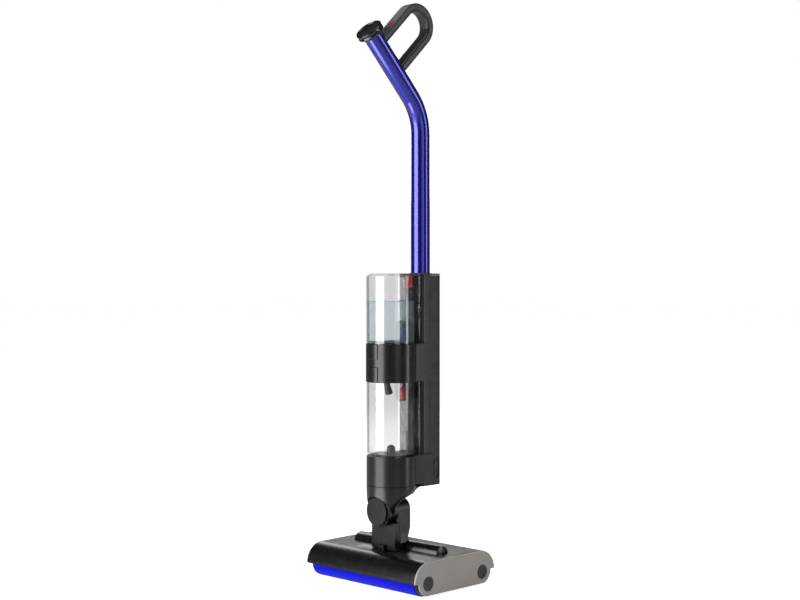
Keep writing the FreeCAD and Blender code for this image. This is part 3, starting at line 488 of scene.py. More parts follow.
def scaled(outline, centre, amount):
    middle = Vector(centre)
    return [middle + (point - middle)*amount for point in outline]


def end_pieces():
    outline = end_outline()
    frame_low, frame_high = size_of("right_end_frame")
    cap_low, cap_high = size_of("right_end_cap")
    middle = (0, 35)
    ring = prism("right_end_frame_shell", scaled(outline, middle, 0.998), "YZ", frame_low.x, frame_high.x)
    keep(soften(ring, 0.9), "head", "charcoal_shell", "right_end_frame")
    cap = prism("right_end_cap_plate", scaled(outline, middle, 0.985), "YZ", cap_low.x, cap_high.x)
    discs_low, discs_high = size_of("roller_end_discs")
    radius = (discs_high.z - discs_low.z)/2
    seats = []
    for side in (-1, 1):
        centre = (0, side*(discs_high.y - radius), (discs_low.z + discs_high.z)/2)
        seats.append(rod("seat", radius + 0.7, cap_high.x - 1.6, cap_high.x + 2, centre, "X", 72))
        end_disc(side, centre, radius, cap_high.x)
    carve(cap, *seats)
    keep(soften(cap, 1.3, 4), "head", "warm_grey_cap", "right_end_cap")
    plate_low, plate_high = size_of("left_end_plate")
    upper = [p for p in outline if p.y >= plate_low.z - 0.01]
    plate = prism("left_end_plate_shell", upper, "YZ", plate_low.x, plate_high.x)
    keep(soften(plate, 0.9), "head", "charcoal_shell", "left_end_plate")


def end_disc(side, centre, radius, face):
    """A roller end disc: a bevelled rim round a field of fine pins."""
    rim = lifted([(0, -1.5), (radius, -1.5), (radius, -0.5), (radius - 0.5, -0.1), (radius - 1.4, -0.1),
                  (radius - 1.7, -0.7), (0, -0.7)], face)
    name = "rear" if side > 0 else "front"
    disc = lathe(name + "_end_disc", rim, centre, "X", 72)
    smooth(disc)
    keep(disc, "head", "core_plastic", *(["roller_end_discs"] if side > 0 else []))
    verts = []
    faces = []
    pitch, row_pitch, bare_edge = 1.7, 0.87, 2.6
    rows = int(radius/pitch)
    for row in range(-rows, rows + 1):
        for column in range(-rows, rows + 1):
            u = (column + 0.5*(row % 2))*pitch
            v = row*pitch*row_pitch
            if math.hypot(u, v) > radius - bare_edge:
                continue
            add_pin(verts, faces, centre[1] + u, centre[2] + v, face)
    pins = to_object(name + "_end_disc_pins", verts, faces)
    smooth(pins, 30)
    keep(pins, "head", "core_plastic")


def add_pin(verts, faces, y, z, face):
    """A small six-sided pin with a domed top."""
    start = len(verts)
    for radius, x in ((0.62, face - 0.75), (0.55, face - 0.3), (0.28, face - 0.12)):
        for corner in range(6):
            angle = math.pi/3*corner
            verts.append((x, y + radius*math.cos(angle), z + radius*math.sin(angle)))
    for ring in (0, 6):
        for corner in range(6):
            after = (corner + 1) % 6
            here, there = start + ring + corner, start + ring + after
            faces.append((here, there, there + 6, here + 6))
    faces.append(tuple(start + 12 + corner for corner in range(6)))


def roller(name):
    """The pile sleeve: rows of soft tufts that wind round the roller in a slow spiral."""
    low, high = size_of(name + "_roller_sleeve")
    radius = (high.z - low.z)/2
    core_low, core_high = size_of(name + "_roller_core")
    core = (core_high.z - core_low.z)/2
    centre = ((low.y + high.y)/2, (low.z + high.z)/2)
    rng = random.Random(7 if name == "front" else 11)
    columns, steps, end_round = 380, 220, 1.6
    verts = []
    for column in range(columns + 1):
        along = column/columns
        x = low.x + (high.x - low.x)*along
        end = min(along, 1 - along)*(high.x - low.x)
        rounding = end_round*max(0, 1 - end/end_round)**2
        for step in range(steps):
            angle = 2*math.pi*step/steps
            lay = 0.5 + 0.5*math.sin(angle*3 + x*0.16)
            depth = 0.12 + 0.26*lay*rng.random() + 0.34*rng.random()**2
            r = radius - rounding - depth
            verts.append((x, centre[0] + r*math.cos(angle), centre[1] + r*math.sin(angle)))
    faces = []
    for column in range(columns):
        for step in range(steps):
            after = (step + 1) % steps
            faces.append((column*steps + step, (column + 1)*steps + step,
                          (column + 1)*steps + after, column*steps + after))
    skin = to_object(name + "_pile", verts, faces)
    smooth(skin, 180)
    keep(skin, name + "_roller", "blue_pile", name + "_roller_sleeve")
    for end, x, sign in (("left", low.x, 1), ("right", high.x, -1)):
        inner, depth = core + 0.02, x + sign*2.5
        ring = [(inner, x), (radius - 2.2, x), (radius - 1.2, x + sign*0.6),
                (radius - 2.0, depth), (inner, depth)]
        backing = lathe("%s_pile_%s_end" % (name, end), ring, (0, *centre), "X", 96, closed=True)
        smooth(backing, 50)
        keep(backing, name + "_roller", "blue_pile")


def hinge_bar():
    low, high = size_of("cross_bar")
    radius = (high.z - low.z)/2
    profile = [(0, low.x), (radius - 1.4, low.x), (radius - 0.4, low.x + 0.4), (radius, low.x + 1.4),
               (radius, high.x - 1.4), (radius - 0.4, high.x - 0.4), (radius - 1.4, high.x), (0, high.x)]
    bar = lathe("hinge_bar_shell", profile, (0, 0, (low.z + high.z)/2), "X", 96)
    keep(smooth(bar), "yoke", "charcoal_shell", "cross_bar")


def catch_and_button():
    low, high = size_of("cover_latch")
    taper, round_top = 1.5, 2.5
    outline = corner_path([(low.x, low.z), (high.x, low.z), (high.x - taper, high.z, round_top),
                           (low.x + taper, high.z, round_top)])
    tab = prism("cover_catch_tab", outline, "XZ", low.y, high.y)
    keep(soften(tab, 0.8), "head", "charcoal_shell", "cover_latch")
    low, high = size_of("cover_release_button")
    radius = (high.x - low.x)/2
    profile = [(0, low.z), (radius, low.z)]
    profile += lifted([(radius, -0.6), (radius - 0.6, 0), (radius*0.5, -0.35), (0, -0.5)], high.z)
    button = lathe("cover_release_cap", profile, ((low.x + high.x)/2, (low.y + high.y)/2, 0), "Z", 64)
    keep(smooth(button), "cover_button", "signal_red", "cover_release_button")


def head_looks():
    cover("front_cover", -1)
    cover("rear_cover", 1)
    end_pieces()
    roller("front")
    roller("rear")
    hinge_bar()
    catch_and_button()


head_looks()


# Yoke and neck

def swivel_height():
    low, high = size_of("swivel_pin")
    return (low.z + high.z)/2


def yoke():
    """The block under the neck, with its saddle and side panels, and the round-topped lug behind it."""
    low, high = size_of("yoke")
    swivel = swivel_height()
    bar_low, bar_high = size_of("cross_bar")
    bar = (bar_low.z + bar_high.z)/2
    bar_radius = (bar_high.z - bar_low.z)/2
    front, back, half, top = low.y, -29.5, high.x, 120.0
    saddle_radius, eye_radius = 27.5, 8.2
    block = prism("yoke_block", panel(-half, half, bar + 2, top, 0, 2), "XZ", front, back)
    saddle = rod("saddle", saddle_radius, -80, 20, (0, 0, swivel), "Y", 128)
    side_panel = panel(front + 3.5, back - 2.5, bar + 22, top - 7, 2, 2)
    panels = []
    for side in (-1, 1):
        near, far = sorted((side*(half - 0.9), side*(half + 2)))
        panels.append(prism("panel", side_panel, "YZ", near, far))
    carve(block, saddle, *panels)
    carve(block, bar_tool(bar, bar_radius))
    keep(soften(block, 1.0), "yoke", "charcoal_shell", "yoke")
    lug_half, lug_back = 20.0, high.y
    rise = arc((0, swivel), lug_half, 0, 180, 40)
    flare = [(0, 34), (1.2, 25), (4.5, 14), (5, 4)]
    foot = [Vector((-lug_half - out, bar + up)) for out, up in flare]
    foot += [Vector((lug_half + out, bar + up)) for out, up in reversed(flare)]
    lug = prism("yoke_lug", rise + foot, "XZ", back - 0.4, lug_back)
    eye = rod("eye", eye_radius, -60, 30, (0, 0, swivel), "Y", 64)
    carve(lug, eye)
    carve(lug, bar_tool(bar, bar_radius))
    slope = [(1.2, 40), (30, 40), (30, bar + 46), (lug_back + 0.1, bar + 42), (lug_back - 3.6, bar + 31),
             (1.2, bar + 24)]
    trim = prism("trim", slope, "YZ", -60, 60)
    carve(lug, trim)
    keep(soften(lug, 1.6, 4), "yoke", "charcoal_shell")
    pin_end = [(0, -6), (8.0, -6), (8.0, -0.8), (7.2, -0.1), (3.2, -0.1), (2.6, -1.6), (0, -1.6)]
    boss = lathe("swivel_pin_end", lifted(pin_end, lug_back), (0, 0, swivel), "Y", 64)
    keep(smooth(boss, 30), "yoke", "steel")


def bar_tool(height, radius):
    return rod("bar_room", radius - 0.3, -120, 120, (0, 0, height), "X", 96)


def neck():
    """The skirt under the base flows down into a barrel whose flat front is the swivel's dished cap."""
    swivel = swivel_height()
    front = size_of("neck_cap")[0].y - 1.0
    back = -30.5
    skirt = size_of("neck_housing")[1].x
    middle = tank_axis()
    top = size_of("base_housing")[0].z - 0.3
    stations = [
        (top, skirt, middle - skirt, middle + skirt),
        (184, 48.4, -73.5, 23.4), (178, 47.7, -73.3, 22.4), (174, 46.0, -73.1, 14.0),
        (170, 43.6, -72.8, 3.0), (166, 41.2, -72.3, -8.0), (162, 39.0, -71.6, -16.5),
        (158, 37.0, -70.6, -22.5), (154, 35.3, -69.4, -26.5), (150, 33.8, -67.8, -29.0),
        (146, 32.4, -65.6, -30.0),
        (swivel + 1, 31.0, front - 0.1, back), (swivel - 3.5, 28.6, front, back)]
    body = loft("neck_body", [ellipse(width, near, far, height) for height, width, near, far in stations])
    flange = lifted([(0, 0), (30.2, 0), (31, 0.8), (31, 5), (29.4, 9.5), (26.9, 13)], front)
    barrel = lathe("barrel", flange + [(26.9, back), (0, back)], (0, 0, swivel), "Y", 128)
    carve(body, barrel, operation="UNION")
    face = rod("face", 30.6, front - 20, front, (0, 0, swivel), "Y", 128)
    dish = lathe("dish", dish_profile(front, 1.0), (0, 0, swivel), "Y", 128)
    lug_room = prism("lug_room", panel(-22, 22, 90, swivel + 22, 0, 20, 24), "XZ", back + 0.4, 60)
    carve(body, face, dish, lug_room)
    soften(body, 0.7, 3, 42)
    keep(body, "upper_body", "charcoal_shell", "neck_housing")
    cap_back = size_of("neck_cap")[1].y
    bowl = dish_profile(front, 0.0)[:-2] + [(26.0, cap_back + 0.8), (0, cap_back + 0.8)]
    cap = lathe("neck_cap_dish", bowl, (0, 0, swivel), "Y", 128)
    keep(smooth(cap, 50), "upper_body", "charcoal_shell", "neck_cap")


def dish_profile(front, deeper):
    """A shallow bowl pressed into the front of the swivel."""
    radius, steps = 26.4, 12
    points = [(0, front + 3.4 + deeper)]
    for step in range(1, steps + 1):
        out = radius*step/steps
        points.append((out, front + 0.9 + (2.5 + deeper)*(1 - (out/radius)**2)))
    return points + [(26.8, front - 3), (0, front - 3)]


def tank_axis():
    low, high = size_of("clean_tank")
    return (low.y + high.y)/2


def gusset():
    """The rib that carries the foot of the spine on the skirt."""
    bottom = size_of("spine_front_shell")[0].z
    outline = lifted([(10, -0.3), (45, -0.3), (43, -3), (32, -7), (24, -14), (14, -17), (8, -17)], bottom)
    rib = prism("spine_foot_rib", outline, "YZ", -15.5, 15.5)
    keep(soften(rib, 1.4, 3, 20), "upper_body", "charcoal_shell")


def neck_looks():
    yoke()
    neck()
    gusset()


neck_looks()


# Base, collar and spine

WING_HALF = 37.0
SPINE_CORNER = 9.0


def drum_outline(radius, wing_half, wing_back, slot_half, slot_front):
    """A round drum in plan, with flat wings that reach back along the sides of the spine."""
    centre = tank_axis()
    meet = math.degrees(math.asin(min(1, math.sqrt(radius**2 - wing_half**2)/radius)))
    sweep = arc((0, centre), radius, meet, -180 - meet, 110)
    back = [(-wing_half, wing_back), (-slot_half, wing_back), (-slot_half, slot_front),
            (slot_half, slot_front), (slot_half, wing_back), (wing_half, wing_back)]
    return sweep + [Vector(point) for point in back]


def spine_half():
    return size_of("spine_front_shell")[1].x


def base():
    low, high = size_of("base_housing")
    front = size_of("spine_front_shell")[0].y
    outline = drum_outline(48.5, WING_HALF, high.y, spine_half() + 0.3, front - 0.3)
    ring = prism("base_ring", outline, "XY", low.z + 0.35, high.z)
    seat = lifted([(0, -1.2), (44.5, -1.2), (45.7, 2), (0, 2)], high.z)
    pocket = lathe("pocket", seat, (0, tank_axis(), 0), "Z", 96)
    carve(ring, pocket)
    keep(soften(ring, 0.9, 3, 50), "upper_body", "charcoal_shell", "base_housing")


def sector(inner, outer, half_angle, steps):
    """Part of a ring in plan, at the front of the tanks."""
    centre = (0, tank_axis())
    return (arc(centre, outer, -90 - half_angle, -90 + half_angle, steps)
            + arc(centre, inner, -90 + half_angle, -90 - half_angle, steps))


def collar():
    low, high = size_of("tank_collar")
    front = size_of("spine_front_shell")[0].y
    radius = 49.5
    outline = drum_outline(radius, WING_HALF, high.y, spine_half() + 0.3, front - 0.3)
    band = prism("collar_band", outline, "XY", low.z, high.z)
    centre = (0, tank_axis(), 0)
    rim = lathe("rim", lifted([(0, -1.0), (46.2, -1.0), (47.0, 2), (0, 2)], high.z), centre, "Z", 96)
    under = lathe("under", lifted([(0, -2), (46.4, -2), (45.8, 1.4), (0, 1.4)], low.z), centre, "Z", 96)
    carve(band, rim, under)
    keep(soften(band, 0.9, 3, 50), "dirty_tank_unit", "charcoal_shell", "tank_collar")
    tab_outline = sector(radius - 1.4, radius + 1.6, 13.4, 16)
    rib_outline = sector(radius + 1.0, radius + 2.0, 8, 10)
    tab_height, edge_gap, first_rib, rib_pitch, rib_height = 30, 0.5, 8, 3.2, 1.1
    for name, bottom, top in (("lower", low.z + edge_gap, low.z + tab_height),
                              ("upper", high.z - tab_height, high.z - edge_gap)):
        tab = prism("collar_tab_" + name, tab_outline, "XY", bottom, top)
        keep(soften(tab, 0.8, 3, 45), "dirty_tank_unit", "charcoal_shell")
        for rib in range(5):
            height = bottom + first_rib + rib*rib_pitch
            rib_name = "collar_tab_%s_rib_%d" % (name, rib + 1)
            grip = prism(rib_name, rib_outline, "XY", height, height + rib_height)
            keep(soften(grip, 0.3, 2, 45), "dirty_tank_unit", "charcoal_shell")


def half_outline(rear):
    """The front or rear half of the spine in plan."""
    front = size_of("spine_front_shell")[0].y
    split = size_of("spine_front_shell")[1].y
    back = size_of("spine_rear_shell")[1].y
    half = spine_half()
    if rear:
        return panel(-half, half, split, back, 0, SPINE_CORNER, 12)
    return panel(-half, half, front, split, SPINE_CORNER, 0, 12)


def spine():
    low, high = size_of("spine_front_shell")
    seam = size_of("spine_rear_shell")[0].z
    cap = high.z - 3.0
    front = prism("spine_front_half", half_outline(False), "XY", low.z, cap - 0.4)
    button_low, button_high = size_of("tank_release_button")
    left, right, under = button_low.x - 1.2, button_high.x + 1.2, button_low.z - 1.2
    pocket = prism("pocket", panel(left, right, under, cap + 8, 4, 0), "XZ", low.y - 3, low.y + 5)
    carve(front, pocket)
    keep(soften(front, 0.5, 3, 50), "upper_body", "charcoal_shell", "spine_front_shell")
    rear = prism("spine_rear_half", half_outline(True), "XY", seam, cap - 0.4)
    keep(soften(rear, 0.5, 3, 50), "upper_body", "charcoal_shell", "spine_rear_shell")
    tube_high = size_of("handle_tube")[1]
    tube_radius = tube_high.x
    tube_y = tube_high.y - tube_radius
    half, back = spine_half(), size_of("spine_rear_shell")[1].y
    full = panel(-half, half, low.y, back, SPINE_CORNER, SPINE_CORNER, 12)
    lid = prism("spine_top_lid", full, "XY", cap, high.z)
    carve(lid, rod("hole", tube_radius + 0.4, cap - 9, cap + 9, (0, tube_y, 0), "Z", 96))
    keep(soften(lid, 0.7, 3, 50), "upper_body", "charcoal_shell")
    inner, outer, foot, rim = tube_radius + 0.1, tube_radius + 3, high.z - 2, high.z + 1.2
    profile = [(inner, foot), (outer, foot), (outer, rim - 0.7), (outer - 0.6, rim), (inner + 0.5, rim),
               (inner, rim - 0.5)]
    collet = lathe("tube_collet", profile, (0, tube_y, 0), "Z", 96, closed=True)
    keep(smooth(collet, 50), "upper_body", "core_plastic")


def battery_cover():
    low, high = size_of("battery_cover")
    half = spine_half()
    cover = prism("battery_door", half_outline(True), "XY", low.z, high.z)
    slot_depth, round_end = 1.4, 7.9
    slot = panel(60, 77, 197, 239, round_end, round_end, 12)
    for side in (-1, 1):
        near, far = sorted((side*(half - slot_depth), side*(half + 2)))
        carve(cover, prism("slot", slot, "YZ", near, far))
    keep(soften(cover, 0.5, 3, 50), "upper_body", "charcoal_shell", "battery_cover")
    for side, name in ((-1, "left"), (1, "right")):
        face = side*(half - slot_depth)
        near, far = sorted((face - side*0.5, face + side*0.9))
        lever = prism("door_lever_" + name, panel(64, 73, 213, 235, 4, 4.4, 10), "YZ", near, far)
        keep(soften(lever, 0.4, 2, 40), "upper_body", "charcoal_shell")
        screw = [(0, 0.4), (1.8, 0.4), (2.2, 1.1), (5.2, 1.1), (5.8, 0.5), (5.8, -0.5), (0, -0.5)]
        profile = [(radius, face + side*height) for radius, height in screw]
        disc = lathe("door_screw_" + name, profile, (0, 68.5, 205.2), "X", 48)
        keep(smooth(disc, 30), "upper_body", "black_gloss")


def release_button():
    low, high = size_of("tank_release_button")
    button = prism("release_paddle", panel(low.x, high.x, low.z, high.z, 5, 9.5, 12), "XZ", low.y, high.y)
    hollow = lathe("hollow", [(0, low.y - 2), (6.5, low.y - 2), (6.5, low.y + 0.1), (0, low.y + 0.9)],
                   ((low.x + high.x)/2, 0, high.z - 10), "Y", 48)
    carve(button, hollow)
    keep(soften(button, 1.4, 4, 40), "tank_button", "signal_red", "tank_release_button")


def body_looks():
    base()
    collar()
    spine()
    battery_cover()
    release_button()


body_looks()


# Tanks

def wall_profile(radius, wall, bottom, top, rounding, closed_end, floor):
    """The section of a clear tank: a wall, and a thicker rounded floor or crown."""
    inner = radius - wall
    centre, turn = radius - rounding, rounding - wall
    if closed_end == "bottom":
        outer_arc = arc((centre, bottom + rounding), rounding, -90, 0, 14)
        inner_arc = arc((centre, bottom + floor + turn), turn, 0, -90, 14)
        wall_top = [Vector((radius, top)), Vector((inner, top))]
        return [Vector((0, bottom))] + outer_arc + wall_top + inner_arc + [Vector((0, bottom + floor))]
    outer_arc = arc((centre, top - rounding), rounding, 0, 90, 14)
    inner_arc = arc((centre, top - floor - turn), turn, 90, 0, 14)
    crown = [Vector((0, top)), Vector((0, top - floor))]
    return [Vector((inner, bottom)), Vector((radius, bottom))] + outer_arc + crown + inner_arc


def clean_tank():
    low, high = size_of("clean_tank")
    radius = high.x
    y = tank_axis()
    profile = wall_profile(radius, 2.2, low.z, high.z, 8.0, "top", 2.2)
    wall = lathe("clean_tank_wall", profile, (0, y, 0), "Z", 160, closed=True)
    keep(smooth(wall, 60), "clean_tank_unit", "clear_tank", "clean_tank")
    base_low, base_high = size_of("clean_tank_base")
    inner = base_high.x - 0.1
    hole = 9.2
    plate = [(hole, base_low.z), (inner, base_low.z)]
    plate += lifted([(inner, -0.8), (inner - 0.8, 0), (hole + 0.8, 0), (hole, -0.8)], base_high.z)
    base_piece = lathe("clean_tank_floor", plate, (0, y, 0), "Z", 128, closed=True)
    keep(smooth(base_piece, 50), "clean_tank_unit", "clear_tank", "clean_tank_base")
    for name, middle, slot in (("inner", 30.0, "core_plastic"), ("outer", inner - 3.0, "clear_tank")):
        ring = [(middle - 1.2, -0.2), (middle + 1.2, -0.2), (middle + 1.0, 1.2), (middle - 1.0, 1.2)]
        ring = lifted(ring, base_high.z)
        ridge = lathe("clean_tank_floor_ring_" + name, ring, (0, y, 0), "Z", 128, closed=True)
        keep(smooth(ridge, 50), "clean_tank_unit", slot)
    valve_low, valve_high = size_of("tank_valve")
    top = valve_high.z
    skirt = lifted([(8.9, 0), (11.8, 0.1), (11.8, 1.6), (11.2, 2), (7.4, 2)], base_high.z)
    profile = [(0, valve_low.z), (8.9, valve_low.z)] + skirt + [(6.6, top - 0.4), (6.0, top), (0, top)]
    valve = lathe("clean_tank_valve", profile, (0, y, 0), "Z", 64)
    keep(smooth(valve, 40), "clean_tank_unit", "dark_rubber", "tank_valve")
    profile = lifted([(2.4, -3.9), (6.2, -3.9), (6.6, -3.5), (6.6, -2.3), (2.4, -2.3)], high.z)
    vent = lathe("clean_tank_vent", profile, (0, y, 0), "Z", 64, closed=True)
    keep(smooth(vent, 40), "clean_tank_unit", "core_plastic")


def water():
    """Clean water to a little over half of the tank, with the edge of its surface drawn up the wall."""
    inner = size_of("clean_tank")[1].x - 2.35
    bottom = size_of("clean_tank_base")[1].z + 0.15
    level, edge_rise, edge_round = 550.0, 1.6, 2.4
    profile = [Vector((0, bottom)), Vector((inner, bottom)), Vector((inner, level + edge_rise))]
    profile += arc((inner - edge_round, level + 2.3), edge_round, -16, -90, 6)
    profile += [Vector((0, level - 0.1))]
    pool = lathe("clean_water", profile, (0, tank_axis(), 0), "Z", 160)
    keep(smooth(pool, 60), "clean_tank_unit", "clear_tank", material="water")


def dirty_tank():
    low, high = size_of("dirty_tank")
    y, floor = tank_axis(), 3.4
    profile = wall_profile(high.x, 2.2, low.z, high.z - 0.05, 8.0, "bottom", floor)
    wall = lathe("dirty_tank_wall", profile, (0, y, 0), "Z", 160)
    keep(smooth(wall, 60), "dirty_tank_unit", "clear_tank", "dirty_tank")
    knob_top = size_of("dirty_tank_knob")[1].z
    bottom = low.z + floor
    stem = [(0, 0), (10, 0), (10, 1.6), (9.4, 2.2), (8.4, 2.4), (8.2, 5), (8.6, 5.4), (8.6, 6.6), (8.2, 7)]
    profile = lifted(stem, bottom)
    profile += arc((0, knob_top - 8.2), 8.2, 0, 90, 12)
    knob = lathe("dirty_tank_stud", profile, (0, y, 0), "Z", 72)
    keep(smooth(knob, 30), "dirty_tank_unit", "core_plastic", "dirty_tank_knob", material="black_gloss")
    ring = lifted([(28, -0.1), (31, -0.1), (30.6, 0.9), (28.4, 0.9)], bottom)
    ledge = lathe("dirty_tank_floor_ring", ring, (0, y, 0), "Z", 128, closed=True)
    keep(smooth(ledge, 40), "dirty_tank_unit", "clear_tank")


def guide(name, body, domed_up):
    """A clear channel round a float, arched at its free end."""
    low, high = size_of(name + "_float_guide")
    wall, half = 1.8, high.x
    inside, rounding = half - wall, half - 0.2
    free, fixed, sign = (high.z, low.z, -1) if domed_up else (low.z, high.z, 1)
    roof = free + sign*wall
    outer = [(-half, fixed), (half, fixed), (half, free, rounding), (-half, free, rounding)]
    inner = [(-inside, fixed + sign), (inside, fixed + sign), (inside, roof, rounding - wall),
             (-inside, roof, rounding - wall)]
    channel = prism(name + "_float_channel", corner_path(outer, 16), "XZ", low.y, high.y)
    carve(channel, prism("room", corner_path(inner, 16), "XZ", low.y - 1, high.y - wall))
    keep(soften(channel, 0.4, 2, 50), body, "clear_tank", name + "_float_guide")


def float_pill(name, slot):
    """A ribbed float with a domed top and bottom."""
    low, high = size_of(name + "_float")
    radius = (high.x - low.x)/2
    profile = arc((0, low.z + radius), radius, -90, 0, 10)
    for rib in range(7):
        bottom = low.z + radius + 1.2 + rib*2.4
        for inset, rise in ((0, 0), (0.45, 0.4), (0.45, 0.9), (0, 1.3)):
            profile.append(Vector((radius - inset, bottom + rise)))
    profile += arc((0, high.z - radius), radius, 0, 90, 10)
    pill = lathe(name + "_float_pill", profile, ((low.x + high.x)/2, (low.y + high.y)/2, 0), "Z", 64)
    keep(smooth(pill, 35), name + "_float", slot, name + "_float")


def spout():
    """The outlet that drops dirty water into its tank: a short pipe that widens and leans back."""
    collar_bottom = size_of("tank_collar")[0].z
    tilt, length, set_back = math.radians(18), 25, 5
    end = Vector((0, tank_axis() - set_back, collar_bottom - length*math.cos(tilt)))
    along = Vector((0, -math.sin(tilt), math.cos(tilt)))
    across = Vector((0, math.cos(tilt), math.sin(tilt)))
    side = Vector((1, 0, 0))
    rings = []
    stations = [(3.4, 4.8), (0.5, 6.5), (0, 7.0), (0.4, 7.45), (3, 7.4), (9, 6.9), (16, 6.2),
                (24, 5.7), (29, 5.6)]
    for distance, radius in stations:
        ring = []
        for step in range(48):
            angle = 2*math.pi*step/48
            point = end + along*distance + (side*math.cos(angle) + across*math.sin(angle))*radius
            ring.append((point.x, point.y, min(point.z, collar_bottom + 1.2)))
        rings.append(ring)
    pipe = loft("dirty_water_spout", rings)
    keep(smooth(pipe, 50), "dirty_tank_unit", "charcoal_shell", "dirty_spout")


def tank_looks():
    clean_tank()
    water()
    dirty_tank()
    guide("clean", "clean_tank_unit", True)
    guide("dirty", "dirty_tank_unit", False)
    float_pill("clean", "signal_blue")
    float_pill("dirty", "signal_red")
    spout()


tank_looks()


# Handle tube, loop handle and display

TILT = math.radians(44)
CORNER = (58.3, 928.6)
TUBE_BEND = 111.0
TUBE_TOP = 193.6
GRIP_LOW, GRIP_HIGH, GRIP_REACH = 102.1, 172.6, 107.0


def on_handle(across, back, along):
    """A point in the frame of the tilted tube: across, back from its axis, and along it."""
    return (across,
            CORNER[0] + back*math.cos(TILT) - along*math.sin(TILT),
            CORNER[1] + back*math.sin(TILT) + along*math.cos(TILT))


def tilted(piece):
    """Moves a piece built upright at the origin into the frame of the tilted tube."""
    for vertex in piece.data.vertices:
        vertex.co = Vector(on_handle(*(vertex.co/MM)))*MM
    return piece


def tube():
    low, high = size_of("handle_tube")
    radius = high.x
    tangent = TUBE_BEND*math.tan(TILT/2)
    centre = (CORNER[0] - TUBE_BEND, CORNER[1] - tangent)
    stations = [(CORNER[0], low.z + (centre[1] - low.z)*step/12, 0.0) for step in range(12)]
    for step in range(33):
        angle = TILT*step/32
        y, z = centre[0] + TUBE_BEND*math.cos(angle), centre[1] + TUBE_BEND*math.sin(angle)
        stations.append((y, z, angle))
    for step in range(1, 9):
        point = on_handle(0, 0, tangent + (TUBE_TOP - tangent)*step/8)
        stations.append((point[1], point[2], TILT))
    rings = []
    for y, z, angle in stations:
        ring = []
        for step in range(128):
            turn = 2*math.pi*step/128
            out = radius*math.sin(turn)
            ring.append((radius*math.cos(turn), y + out*math.cos(angle), z + out*math.sin(angle)))
        rings.append(ring)
    piece = loft("handle_tube_skin", rings)
    keep(smooth(piece, 60), "upper_body", "blue_tube", "handle_tube")


def loop_sweep(name, section, start):
    """A section of (outward, across) points carried round the loop."""
    middle = (GRIP_LOW + GRIP_HIGH)/2
    bend = (GRIP_HIGH - GRIP_LOW)/2
    stations = []
    for step in range(17):
        stations.append((start + (GRIP_REACH - start)*step/16, GRIP_LOW, 0.0, -1.0))
    for step in range(1, 56):
        angle = -math.pi/2 + math.pi*step/56
        back, along = math.cos(angle), math.sin(angle)
        stations.append((GRIP_REACH + bend*back, middle + bend*along, back, along))
    for step in range(17):
        stations.append((GRIP_REACH - (GRIP_REACH - start)*step/16, GRIP_HIGH, 0.0, 1.0))
    rings = []
    for back, along, out_back, out_along in stations:
        rings.append([on_handle(p.y, back + out_back*p.x, along + out_along*p.x) for p in section])
    return loft(name, rings)


def loop_handle():
    section = corner_path([(-8, -14, 6.0), (7.9, -14, 3.4), (7.9, 14, 3.4), (-8, 14, 6.0)], 8)
    grip = loop_sweep("loop_grip", section, 13)
    grooves = []
    for side in (-1, 1):
        near, far = sorted((side*10.9, side*11.5))
        grooves.append(loop_sweep("groove", panel(7.2, 9, near, far, 0, 0), 10))
    carve(grip, *grooves)
    keep(smooth(grip, 32), "upper_body", "grip_grey", "handle_grip")
    section = corner_path([(7.0, -10.8), (8.2, -10.8, 0.5), (8.2, 10.8, 0.5), (7.0, 10.8)], 3)
    trim = loop_sweep("loop_trim", section, 21)
    buttons = (("power_button", 55.0, "signal_red"), ("mode_button", 41.0, "teal"))
    rooms = []
    for name, middle, slot in buttons:
        outline = panel(-5.6, 5.6, middle - 6.4, middle + 6.4, 3.4, 3.4)
        rooms.append(tilted(prism("room", outline, "XY", GRIP_HIGH + 7.4, GRIP_HIGH + 12)))
    carve(trim, *rooms)
    keep(smooth(trim, 32), "upper_body", "grip_grey", "handle_trim", material="trim_grey")
    for name, middle, slot in buttons:
        outline = panel(-5, 5, middle - 5.8, middle + 5.8, 3, 3)
        key = prism(name + "_key", outline, "XY", GRIP_HIGH + 5, GRIP_HIGH + 9.1)
        keep(soften(tilted(key), 0.6, 3), name, slot, name)
    for name, along in (("lower", GRIP_LOW), ("upper", GRIP_HIGH)):
        outline = panel(-11.5, 11.5, 15, 19.6, 4, 1)
        foot = prism("loop_foot_" + name, outline, "XY", along - 6.5, along + 6.5)
        keep(soften(tilted(foot), 0.5, 2), "upper_body", "grip_grey")


def display():
    """A flat round head on the tube: a waisted side between two rims, and a dished gloss lens."""
    waist = [(0, -0.2), (19.6, -0.2), (20.4, 0.6), (24.4, 2.6), (26.2, 3.6), (27.2, 4.6), (27.6, 6.0),
             (27.3, 7.4), (26.4, 8.2), (25.9, 8.8), (25.9, 9.6), (26.6, 10.2), (27.5, 11.0)]
    rim = [tuple(point) for point in arc((25.9, TUBE_TOP + 14.2), 1.9, -20, 90, 8)]
    seat = [(25.2, 16.4), (24.7, 15.6), (24.45, 14.0), (24.45, 12.2), (0, 12.2)]
    outer = lifted(waist, TUBE_TOP) + rim + lifted(seat, TUBE_TOP)
    housing = tilted(lathe("display_shell", outer, (0, 0, 0), "Z", 144))
    keep(smooth(housing, 38), "upper_body", "charcoal_shell", "display_housing", material="black_gloss")
    edge = [(0, 12.4), (24.35, 12.4), (24.35, 15.2), (23.9, 15.9), (23.0, 16.0), (22.4, 15.6), (21.9, 15.0)]
    glass = lifted(edge, TUBE_TOP)
    dish_radius, steps = 21.9, 14
    for step in range(1, steps + 1):
        radius = dish_radius*(1 - step/steps)
        glass.append((radius, TUBE_TOP + 13.2 + 1.7*(radius/dish_radius)**2))
    lens = tilted(lathe("display_lens", glass, (0, 0, 0), "Z", 144))
    keep(smooth(lens, 38), "upper_body", "black_gloss", "display_glass")


def handle_looks():
    tube()
    loop_handle()
    display()


handle_looks()


